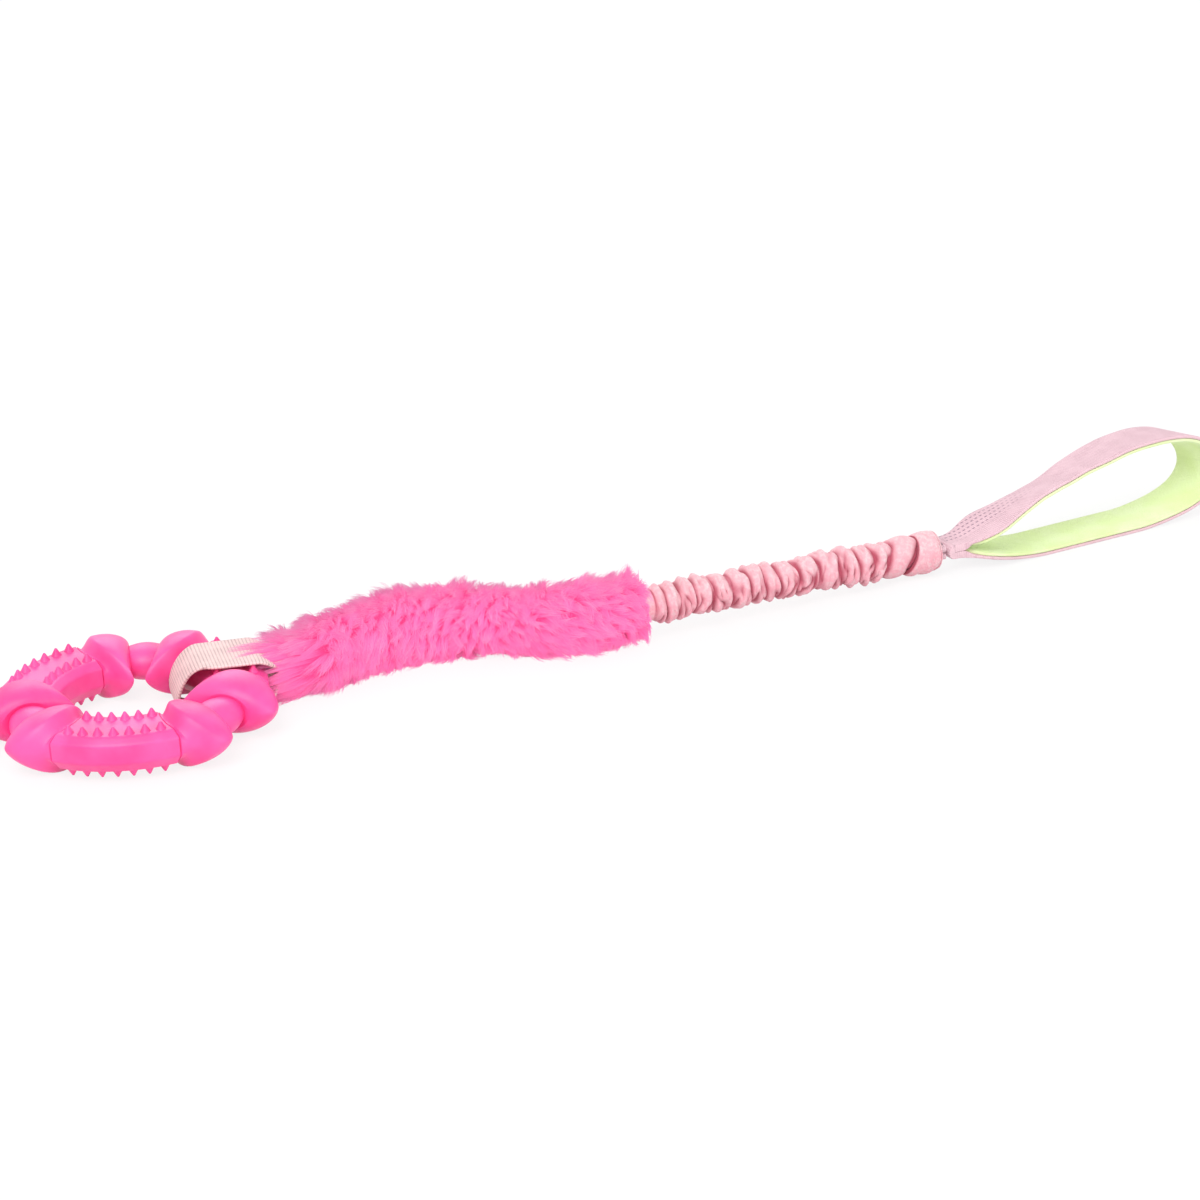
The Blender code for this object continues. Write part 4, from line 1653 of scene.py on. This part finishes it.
@dataclass
class BungeeSleeve:
    """Gathered cloth sleeve over an elastic cord, which stretches from the fur tube to the cuff."""

    start: Vector
    heading: Vector
    nose_radius: float = 0.0074
    crest_radius: float = 0.0087
    valley_radius: float = 0.0059
    plain_length: float = 0.0010
    length: float = 0.1340
    cuff_start: float = 0.1238
    crests: tuple = (
        0.0034, 0.0090, 0.0155, 0.0240, 0.0320, 0.0414, 0.0480, 0.0555, 0.0626, 0.0720, 0.0828, 0.0927,
        0.1000, 0.1068)
    last_valley: float = 0.1105
    slant: float = 0.0030
    slant_span: Pair = (0.106, 0.010)
    drifts: tuple = (WaveField(21, 0.030, 2, 0.0006), WaveField(22, 0.012, 4, 0.0003))
    crest_power: float = 0.55
    creases: tuple = (
        Creases(1, WaveField(23, 0.020, 3, 0.20), WaveField(24, 0.016, 3, 2.5), 0.65, 0.35, 0.95),
        Creases(2, WaveField(28, 0.014, 3, 0.25), WaveField(29, 0.012, 4, 2.5), 0.60, 0.15, 0.85))
    front_grow: Pair = (2.2, 0.9)
    front_fade: Pair = (6.0, 0.6)
    wrinkles: tuple = (WaveField(26, 0.0020, 3, 0.09), WaveField(27, 0.0045, 5, 0.10))
    smooth_span: Pair = (0.001, 0.002)
    highest_fold: float = 1.15
    crest_waves: WaveField = WaveField(25, 0.020, 3, 0.035)
    nose_part: float = 0.985
    nose_step: float = 0.0006
    nose_shade: float = 0.8
    nose_shade_reach: float = 0.0015
    ruffle_ease: float = 0.004
    end_gap: float = 0.0007
    end_ease: float = 0.0009
    lit_slope: float = 1.4
    cord_radius: float = 0.0040
    cord_inset: float = 0.0025
    cord_steps: tuple[int, int] = (48, 300)
    braid_pitch: float = 0.0024
    braid_strands: int = 8
    braid_mean: float = 0.96
    braid_relief: float = 0.03
    stretch_from: float = 0.010
    stretch_to: float = 0.1185
    around: int = 96
    along: int = 520

    def fold_height(self, reach: np.ndarray, angle: np.ndarray) -> np.ndarray:
        """Height of the folds, 0 in a crease and 1 on a crest.

        Args:
            reach: distances from the sleeve's start.
            angle: angles round it.

        Returns:
            One height for each place.
        """
        drift = sum(waves.at(reach, angle) for waves in self.drifts)
        lean = eased((reach - self.slant_span[0]) / self.slant_span[1])
        place = reach + drift - self.slant * np.sin(angle) * lean
        valleys = [(a + b) / 2 for a, b in zip(self.crests, self.crests[1:])]
        edges = [self.plain_length, *valleys, self.last_valley, self.cuff_start]
        phase = np.interp(place, edges, np.arange(len(edges)))
        main = np.abs(np.sin(math.pi * phase)) ** self.crest_power
        grow = eased((angle - self.front_grow[0]) / self.front_grow[1])
        front = grow * eased((self.front_fade[0] - angle) / self.front_fade[1])
        creased = math.prod(creases.factor(phase, front, reach, angle) for creases in self.creases)
        fine = sum(waves.at(reach, angle) for waves in self.wrinkles)
        smooth = 1 - eased((place - self.last_valley - self.smooth_span[0]) / self.smooth_span[1])
        height = main * (1 - smooth * (1 - creased)) + fine * smooth
        return np.clip(height, 0.0, self.highest_fold)

    def shade_height(self, reach: np.ndarray, angle: np.ndarray) -> np.ndarray:
        """Height that the painted fold shade follows: the plain nose counts as a crest."""
        nose = self.nose_shade * (1 - eased(reach / self.nose_shade_reach))
        return np.maximum(self.fold_height(reach, angle), nose)

    def radius_at(self, reach: np.ndarray, angle: np.ndarray) -> np.ndarray:
        """Outer radius of the sleeve.

        Args:
            reach: distances from the sleeve's start.
            angle: angles round it.

        Returns:
            One radius for each place.
        """
        height = self.fold_height(reach, angle)
        uneven = 1 + self.crest_waves.at(reach, angle)
        ruffled = self.valley_radius + (self.crest_radius * uneven - self.valley_radius) * height
        share = eased((reach - self.plain_length * 0.5) / self.ruffle_ease)
        hem = self.cuff_start + self.slant * np.sin(angle)
        end = eased((hem + self.end_gap - reach) / self.end_ease)
        collar = min(self.nose_radius, self.valley_radius + self.nose_step)
        plain = np.where(reach > self.stretch_to, self.valley_radius, collar)
        radius = plain + (ruffled - plain) * share * end
        nose = np.sqrt(np.maximum(self.nose_radius ** 2 - np.minimum(reach, 0.0) ** 2, 0.0))
        return np.where(reach < 0.0, np.minimum(nose, radius), radius)

    def build(self, material: bpy.types.Material) -> bpy.types.Object:
        """Build the sleeve.

        Args:
            material: the cloth.

        Returns:
            The sleeve.
        """
        axes = axes_matrix(self.start, self.heading)
        nose = self.nose_radius * self.nose_part

        def spot(around: np.ndarray, share: np.ndarray) -> tuple[np.ndarray, np.ndarray]:
            """Distance and angle for each place."""
            return -nose + share * (self.length + nose), 2 * math.pi * around

        def place(around: np.ndarray, share: np.ndarray) -> np.ndarray:
            """Point for each place."""
            reach, angle = spot(around, share)
            return round_axis(reach, self.radius_at(reach, angle), angle, axes)

        # crest drives the painted shade in the folds, upper the painted light on the sleeve's upper side
        marks = {
            "crest": lambda around, share: self.shade_height(*spot(around, share)),
            "upper": lambda around, share: eased(np.sin(spot(around, share)[1]) * self.lit_slope),
        }
        bm = shaped_grid(self.around, self.along, place, marks)
        sleeve = finished("bungee_sleeve_cloth", bm, material, 75.0)
        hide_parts("bungee_sleeve")
        self.stretch(sleeve)
        return sleeve

    def cord(self, material: bpy.types.Material) -> bpy.types.Object:
        """Build the elastic cord inside, with its braid's diamond relief.

        Args:
            material: the braid.

        Returns:
            The cord.
        """
        axes = axes_matrix(self.start, self.heading)

        def place(around: np.ndarray, share: np.ndarray) -> np.ndarray:
            """Point for each place.

            Args:
                around: shares round the section.
                share: shares along the surface.

            Returns:
                The points.
            """
            reach = -self.cord_inset + share * (self.length + self.cord_inset)
            angle = 2 * math.pi * around
            wound = self.braid_strands * angle
            turn = reach / self.braid_pitch * 2 * math.pi
            braid = np.cos(wound + turn) * np.cos(wound - turn)
            radius = self.cord_radius * (self.braid_mean + self.braid_relief * braid)
            return round_axis(reach, radius, angle, axes)

        cord = finished("elastic_cord_braid", shaped_grid(*self.cord_steps, place, {}), material, 60.0)
        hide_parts("elastic_cord")
        self.stretch(cord)
        return cord

    def stretch(self, piece: bpy.types.Object) -> None:
        """Bake a piece's placement into its mesh.

        Args:
            piece: the sleeve or the cord.
        """
        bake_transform(piece)


@dataclass
class Cuff:
    """Hemmed end of the sleeve, with the neck webbing sewn in it."""

    start: Vector
    heading: Vector
    cuff_start: float = 0.1238
    cuff_end: float = 0.1365
    radius: float = 0.0087
    wall: float = 0.0013
    slant: float = 0.0030
    sleeve_radius: float = 0.0061
    sleeve_gap: float = 0.0003
    fold_gap: float = 0.0001
    skin: tuple = (
        (0.0, -0.0009), (0.03, -0.0003), (0.09, 0.0), (0.25, 0.0003), (0.50, 0.0004), (0.80, 0.0001),
        (0.905, -0.0003), (0.915, -0.0013), (0.925, -0.0003), (0.95, -0.0002), (0.985, -0.0006),
        (1.0, -0.0013))
    around: int = 84
    profile_steps: int = 7
    wrinkles: WaveField = WaveField(31, 0.006, 5, 1.0)
    wrinkle_depth: float = 0.00022
    wrinkle_ease: Pair = (0.0006, 0.0005)
    lit_slope: float = 1.4
    neck_start: float = 0.1345
    neck_end: float = 0.13930
    neck_width: float = 0.0120
    neck_height: float = 0.0065
    neck_steps: int = 14
    ply_trim: float = 0.0001
    ply_gap: float = 0.00002
    tack_step: float = 0.0009
    tack_stitches: int = 9
    tack_width: float = 0.0020
    tack_inset: float = 0.0003
    tack_gap: float = 0.0001
    tack_lean: float = math.radians(12)
    thread_radius: float = 0.00016
    thread_sides: int = 8

    def cloth(self, material: bpy.types.Material) -> bpy.types.Object:
        """Cuff as one folded shell, with a slanted hem and a rolled end.

        Args:
            material: the cloth.

        Returns:
            The cuff.
        """
        axes = axes_matrix(self.start, self.heading)
        inner = self.radius - self.wall
        length = self.cuff_end - self.cuff_start
        under = self.sleeve_radius + self.sleeve_gap
        profile = np.array([
            (0.30, inner), (0.10, under + self.fold_gap), (0.0, under),
            *((share, self.radius + step) for share, step in self.skin),
            (0.97, inner - self.fold_gap), (0.6, inner)])
        ticks = np.linspace(0, 1, len(profile) + 1)
        looped = np.vstack([profile, profile[:1]])

        def place(around: np.ndarray, share: np.ndarray) -> np.ndarray:
            """Point for each place.

            Args:
                around: shares round the section.
                share: shares along the cuff's folded profile.

            Returns:
                The points.
            """
            angle = 2 * math.pi * around
            run = np.interp(share, ticks, looped[:, 0])
            radius = np.interp(share, ticks, looped[:, 1])
            hem = self.slant * (1 - run) * np.sin(angle)
            reach = self.cuff_start + run * length + hem
            outside = eased((radius - inner - self.wrinkle_ease[0]) / self.wrinkle_ease[1])
            radius = radius + self.wrinkle_depth * outside * self.wrinkles.at(reach, angle)
            return round_axis(reach, radius, angle, axes)

        def crest(around: np.ndarray, share: np.ndarray) -> np.ndarray:
            """Height of the cloth, lower by the hem and in the mouth, where the colour paints shade."""
            radius = np.interp(share, ticks, looped[:, 1])
            return eased((radius - inner) / (self.radius - inner))

        def upper(around: np.ndarray, share: np.ndarray) -> np.ndarray:
            """1 on the cuff's upper side, where the colour paints light."""
            return eased(np.sin(2 * math.pi * around) * self.lit_slope)

        steps = len(profile) * self.profile_steps
        bm = shaped_grid(self.around, steps, place, {"crest": crest, "upper": upper})
        cuff = finished("sleeve_cuff_cloth", bm, material, 60.0)
        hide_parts("sleeve_cuff")
        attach(cuff, Body.CUFF.value)
        return cuff

    def neck(self, material: bpy.types.Material) -> bpy.types.Object:
        """Two plies of webbing that come out of the cuff, as one stack with round edges.

        Args:
            material: the webbing.

        Returns:
            The stack.
        """
        count = self.neck_steps
        zeros = np.zeros(count)
        route = np.stack([np.linspace(self.neck_start, self.neck_end, count), zeros, zeros], 1)
        sides = np.tile((0.0, 1.0, 0.0), (count, 1))
        half_widths = np.full(count, self.neck_width / 2)
        bm = bmesh.new()
        ply = (self.neck_height - self.ply_trim) / 2
        for rise in (-ply / 2 - self.ply_gap, ply / 2 + self.ply_gap):
            part = Band(ply, 10, 4).build(route + (0, 0, rise), sides, half_widths, closed=False)
            kept = bpy.data.meshes.new("neck_ply")
            part.to_mesh(kept)
            part.free()
            bm.from_mesh(kept)
            bpy.data.meshes.remove(kept)
        bmesh.ops.transform(bm, verts=bm.verts, matrix=axes_matrix(self.start, self.heading))
        neck = finished("neck_webbing_plies", bm, material)
        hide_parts("neck_webbing")
        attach(neck, Body.CUFF.value)
        return neck

    def tack(self, material: bpy.types.Material) -> bpy.types.Object:
        """Zigzag of dark thread across the neck.

        Args:
            material: the thread.

        Returns:
            The stitches.
        """
        middle = self.neck_end - self.tack_width / 2 - self.tack_inset
        rise = self.neck_height / 2 + self.thread_radius + self.tack_gap
        half = self.tack_stitches * self.tack_step / 2
        turn = Matrix.Rotation(math.radians(90), 4, "Y") @ Matrix.Rotation(self.tack_lean, 4, "X")
        bm = bmesh.new()
        for stitch in range(self.tack_stitches):
            centre = Vector((middle, (stitch + 0.5) * self.tack_step - half, rise))
            place = Matrix.Translation(centre) @ turn
            made = bmesh.ops.create_uvsphere(
                bm, u_segments=self.thread_sides, v_segments=self.thread_sides,
                radius=self.thread_radius, matrix=place)
            axis = place.to_3x3() @ Vector((0, 0, 1))
            for vert in made["verts"]:
                reach = (vert.co - centre).dot(axis)
                vert.co += axis * math.copysign(self.tack_width / 2 - self.thread_radius, reach)
        bmesh.ops.transform(bm, verts=bm.verts, matrix=axes_matrix(self.start, self.heading))
        bmesh.ops.recalc_face_normals(bm, faces=bm.faces)
        tack = finished("neck_stitches", bm, material, 80.0)
        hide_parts("neck_bar_tack")
        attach(tack, Body.CUFF.value)
        return tack


@dataclass
class HandLoop:
    """Hand loop: flat webbing outside and a fleece lining inside."""

    neck: Vector
    heading: Vector
    width: float = 0.0250
    neck_width: float = 0.0140
    taper: float = 0.0200
    webbing: float = 0.0015
    lining: float = 0.0015
    sewn_gap: float = 0.00002
    neck_radius: float = 0.00325
    upper: tuple = (
        (0.0080, 0.0128), (0.0150, 0.0151), (0.0250, 0.0185), (0.0410, 0.0244), (0.0550, 0.0286),
        (0.0660, 0.0328), (0.0850, 0.0378), (0.0970, 0.0392), (0.1070, 0.0392), (0.1170, 0.0376),
        (0.1250, 0.0340), (0.1303, 0.0288), (0.1330, 0.0220), (0.1317, 0.0144), (0.1265, 0.0086),
        (0.1178, 0.0047), (0.1060, 0.0021))
    floor_ends: tuple = (0.0930, 0.0440)
    lower: tuple = ((0.0290, 0.0021), (0.0160, 0.0048), (0.0080, 0.0064))
    roll_places: tuple = (0.012, 0.022, 0.032, 0.042, 0.052, 0.062, 0.076, 0.100, 0.125)
    rolls: tuple = (0.0, 0.04, 0.16, 0.26, 0.27, 0.20, 0.10, 0.07, 0.10)
    roll_rise: Pair = (0.003, 0.008)
    skew: float = 0.16
    skew_span: Pair = (0.095, 0.03)
    fold_reach: float = 0.0095
    fold_slope: float = 1.6
    fold_press: float = 0.96
    fold_behind: float = -0.0002
    fold_shrink: float = 0.05
    lining_shares: Pair = (0.50, 0.485)
    lining_span: Pair = (0.003, 0.010)
    steps: int = 7
    turn_steps: int = 12

    def route(self) -> list[Vector]:
        """Middle line of the webbing.

        Returns:
            Its points, from the neck's top round the opening to the neck's underside.
        """
        offset = self.neck_radius - self.webbing / 2
        floor = [(x, self.webbing / 2) for x in self.floor_ends]
        outline = list(self.upper) + floor + list(self.lower)
        points = [Vector((0, 0, offset))]
        points += [Vector((x, 0, z - self.neck.z)) for x, z in outline]
        points += [Vector((0, 0, -offset))]
        lowest = self.webbing / 2 - self.neck.z
        route = smooth_route(points, Vector((1, 0, 0)), Vector((-1, 0, 0)), self.steps)
        return [Vector((point.x, 0, max(point.z, lowest))) for point in route]

    def closed_route(self) -> np.ndarray:
        """Middle line of the webbing, closed by its turn round the neck.

        Returns:
            Its points.
        """
        reach = self.neck_radius - self.webbing / 2
        turn = []
        for step in range(1, self.turn_steps):
            angle = math.pi * (0.5 + step / self.turn_steps)
            turn.append(Vector((math.cos(angle), 0, -math.sin(angle))) * reach)
        return np.array(self.route() + turn)

    def sides_for(self, route: np.ndarray) -> np.ndarray:
        """Direction across the band: level, but rolled on the upper run and skewed at the far end.

        Args:
            route: points of the middle line, in the loop's own axes.

        Returns:
            Unit vectors.
        """
        high = eased((route[:, 2] - self.roll_rise[0]) / self.roll_rise[1])
        roll = np.interp(route[:, 0], self.roll_places, self.rolls) * high
        far = eased((route[:, 0] - self.skew_span[0]) / self.skew_span[1])
        return unit_rows(np.stack([-self.skew * far, np.ones(len(route)), -roll], 1))

    def half_widths(self, route: np.ndarray) -> np.ndarray:
        """Half width of the band at each point."""
        taper = eased(route[:, 0] / self.taper)
        return (self.neck_width + (self.width - self.neck_width) * taper) / 2

    def outer(self, material: bpy.types.Material) -> bpy.types.Object:
        """Webbing of the loop, which turns back round the neck.

        Args:
            material: the webbing.

        Returns:
            The webbing.
        """
        points = self.closed_route()
        sides, half_widths = self.sides_for(points), self.half_widths(points)
        bm = Band(self.webbing, 16, 4).build(points, sides, half_widths, closed=True)
        middle = self.neck_radius - self.webbing / 2
        for vert in bm.verts:
            near = self.fold_slope - self.fold_slope * vert.co.x / self.fold_reach
            pressed = float(eased(np.array(near)))
            if vert.co.x > self.fold_behind and abs(vert.co.z) < middle:
                vert.co.z *= 1 - self.fold_press * pressed
            elif vert.co.x <= self.fold_behind and math.hypot(vert.co.x, vert.co.z) < middle:
                vert.co.x *= self.fold_shrink
                vert.co.z *= self.fold_shrink
        return self.placed("handle_webbing_band", bm, material, "handle_webbing", Slot.WEBBING)

    def inner(self, material: bpy.types.Material) -> bpy.types.Object:
        """Lining on the inside of the webbing.

        Args:
            material: the fleece.

        Returns:
            The lining.
        """
        points = self.closed_route()
        sides = self.sides_for(points)
        along = np.roll(points, -1, 0) - np.roll(points, 1, 0)
        inward = unit_rows(np.cross(sides, along))
        lined = points + inward * (self.webbing / 2 + self.sewn_gap + self.lining / 2)
        least, more = self.lining_shares
        share = least + more * eased((points[:, 0] - self.lining_span[0]) / self.lining_span[1])
        bm = Band(self.lining, 16, 4).build(lined, sides, self.half_widths(points) * share, closed=True)
        return self.placed("handle_lining_fleece", bm, material, "handle_lining", Slot.LINING)

    def placed(
            self, name: str, bm: bmesh.types.BMesh, material: bpy.types.Material, node: str,
            slot: Slot) -> bpy.types.Object:
        """Put a piece at the neck, hide the node that it replaces, and attach it to the loop.

        Args:
            name: name of the piece.
            bm: its mesh in the loop's own axes.
            material: its material.
            node: node that it replaces.
            slot: its material slot; not used.

        Returns:
            The piece.
        """
        bmesh.ops.transform(bm, verts=bm.verts, matrix=axes_matrix(self.neck, self.heading))
        piece = finished(name, bm, material)
        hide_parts(node)
        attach(piece, Body.LOOP.value)
        return piece


def seen_rays(tree: bpy.types.NodeTree) -> bpy.types.NodeSocket:
    """Pick out the rays that show the background: from the camera, and from gloss and glass.

    Args:
        tree: tree to add to.

    Returns:
        1 on those rays.
    """
    rays = tree.nodes.new("ShaderNodeLightPath")
    shown = rays.outputs["Is Camera Ray"]
    for kind in ("Is Glossy Ray", "Is Transmission Ray"):
        either = tree.nodes.new("ShaderNodeMath")
        either.operation = "MAXIMUM"
        tree.links.new(shown, either.inputs[0])
        tree.links.new(rays.outputs[kind], either.inputs[1])
        shown = either.outputs[0]
    return shown


@dataclass(frozen=True)
class Lamp:
    """Soft square lamp that looks at the middle of the toy, with its power in watts."""

    name: str
    place: Colour
    power: float
    size: float = 1.2

    def build(self) -> bpy.types.Object:
        """Build the lamp.

        Returns:
            The lamp.
        """
        data = bpy.data.lights.new(self.name, "AREA")
        data.shape = "SQUARE"
        data.size = self.size
        data.energy = self.power
        item = bpy.data.objects.new(self.name, data)
        item.location = self.place
        item.rotation_euler = (-Vector(self.place)).to_track_quat("-Z", "Y").to_euler()
        bpy.context.scene.collection.objects.link(item)
        return item


@dataclass
class Studio:
    """Pale floor, soft lamps and the camera."""

    ring_centre: Vector
    camera_offset: Colour = (-0.34371, -1.24469, 0.54084)
    heading: float = math.radians(23.80)
    tilt: float = math.radians(-21.74)
    roll: float = math.radians(-3.40)
    lens: float = 104.74
    sensor: float = 36.0
    sight: float = 30.0
    floor_size: float = 9.0
    floor_lit: Colour = (0.80, 0.80, 0.80)
    floor_seen: Colour = (0.97, 0.97, 0.97)
    floor_roughness: float = 0.9
    floor_glow: float = 0.84
    world_light: float = 0.67
    lamps: Sequence[Lamp] = (
        Lamp("key_lamp", (-0.9, -0.9, 1.5), 22.0),
        Lamp("fill_lamp", (0.5, -1.6, 0.35), 9.0),
        Lamp("back_lamp", (0.3, 1.4, 1.2), 10.0))

    def camera(self) -> bpy.types.Object:
        """Camera at the photograph's angle.

        Returns:
            The camera.
        """
        forward = Vector((
            math.sin(self.heading) * math.cos(self.tilt), math.cos(self.heading) * math.cos(self.tilt),
            math.sin(self.tilt)))
        level = forward.cross(UP).normalized()
        upright = level.cross(forward)
        cosine, sine = math.cos(self.roll), math.sin(self.roll)
        right = level * cosine + upright * sine
        up = upright * cosine - level * sine
        data = bpy.data.cameras.new("photo_camera")
        data.lens = self.lens
        data.sensor_width = self.sensor
        data.clip_end = self.sight
        item = bpy.data.objects.new("photo_camera", data)
        matrix = Matrix((right, up, -forward)).transposed().to_4x4()
        matrix.translation = self.ring_centre + Vector(self.camera_offset)
        item.matrix_world = matrix
        bpy.context.scene.collection.objects.link(item)
        bpy.context.scene.camera = item
        return item

    def floor(self) -> bpy.types.Object:
        """Wide pale floor, which the camera sees as white with a soft shadow.

        Returns:
            The floor.
        """
        bm = bmesh.new()
        bmesh.ops.create_grid(bm, x_segments=2, y_segments=2, size=self.floor_size)
        graph = Graph("pale_floor")
        seen = seen_rays(graph.tree)
        graph.surface(graph.mix(seen, self.floor_lit, self.floor_seen), self.floor_roughness)
        glow = graph.node("Emission")
        glow.inputs["Color"].default_value = (1.0, 1.0, 1.0, 1.0)
        blend = graph.node("MixShader")
        graph.feed(blend.inputs[0], graph.math("MULTIPLY", seen, self.floor_glow))
        graph.tree.links.new(graph.shader.outputs[0], blend.inputs[1])
        graph.tree.links.new(glow.outputs[0], blend.inputs[2])
        graph.tree.links.new(blend.outputs[0], graph.tree.nodes["Material Output"].inputs["Surface"])
        floor = finished("studio_floor", bm, graph.material)
        return floor

    def world(self) -> None:
        """Set up even surroundings, which look white and light the toy more weakly than they look."""
        world = bpy.data.worlds.new("white_room")
        world.use_nodes = True
        tree = world.node_tree
        background = tree.nodes["Background"]
        background.inputs["Color"].default_value = (1.0, 1.0, 1.0, 1.0)
        level = tree.nodes.new("ShaderNodeMath")
        level.operation = "MULTIPLY_ADD"
        tree.links.new(seen_rays(tree), level.inputs[0])
        level.inputs[1].default_value = 1.0 - self.world_light
        level.inputs[2].default_value = self.world_light
        tree.links.new(level.outputs[0], background.inputs["Strength"])
        bpy.context.scene.world = world

    def build(self) -> None:
        """Set up the camera, the floor and the light."""
        self.camera()
        self.floor()
        for lamp in self.lamps:
            lamp.build()
        self.world()
        bpy.context.scene.view_settings.view_transform = "Standard"


STRAP_WEAVE = WebbingFinish(
    "strap_weave", colour=(0.90, 0.66, 0.64), thread=(0.50, 0.34, 0.34), warp_pitch=0.0013,
    weft_pitch=0.0014, line_width=0.00034)
LOOP_WEAVE = WebbingFinish(
    "loop_weave", colour=(0.79, 0.54, 0.60), thread=(0.68, 0.42, 0.49), warp_pitch=0.0013,
    weft_pitch=0.0010, line_width=0.00030, dashes=(Dashes((0.26, 0.13, 0.20), (0.020, 0.060)),))
DARK_THREAD = ThreadFinish("dark_thread", (0.22, 0.13, 0.17))
CORD_BRAID = ThreadFinish("cord_braid", (0.78, 0.72, 0.70))


def dress_node(nodes: dict[str, bpy.types.Object], name: str, material: bpy.types.Material) -> None:
    """Give a node that stays a better material.

    Args:
        nodes: the frame's nodes.
        name: the node's name.
        material: its new material.
    """
    for place in nodes[name].material_slots:
        place.material = material


def main() -> None:
    """Build every piece in order and report it."""
    logging.basicConfig(level=logging.INFO, format="%(message)s")
    for item in list(bpy.data.objects):
        bpy.data.objects.remove(item, do_unlink=True)
    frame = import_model()
    places = ToyPlaces.read(frame["joints"])
    Studio(places.ring_centre).build()

    strap_webbing = STRAP_WEAVE.material()
    loop_webbing = LOOP_WEAVE.material()
    cloth = ClothFinish().material()
    thread = DARK_THREAD.material()

    made = [ChewRing(places.ring_centre).build(RubberFinish().material())]
    made.append(RingStrap(places.throat, places.strap_heading).build(strap_webbing))
    fur = FurTube(places.throat, places.strap_heading, places.bungee_start, places.ring_centre)
    made.append(fur.backing(BackingFinish().material()))
    made += fur.pile(FurFinish().material())
    sleeve = BungeeSleeve(places.bungee_start, places.bungee_heading)
    made.append(sleeve.build(cloth))
    made.append(sleeve.cord(CORD_BRAID.material()))
    cuff = Cuff(places.bungee_start, places.bungee_heading)
    made += [cuff.cloth(cloth), cuff.neck(loop_webbing), cuff.tack(thread)]
    loop = HandLoop(places.neck, places.loop_heading)
    made += [loop.outer(loop_webbing), loop.inner(FleeceFinish().material())]
    for name in ("strap_tail_upper", "strap_tail_lower"):
        dress_node(frame["nodes"], name, strap_webbing)
    for name in ("strap_bar_tack", "bungee_bar_tack"):
        dress_node(frame["nodes"], name, thread)
    for piece in made:
        LOG.info("%s: %d faces", piece.name, len(piece.data.polygons))
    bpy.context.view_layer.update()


if __name__ == "__main__":
    main()
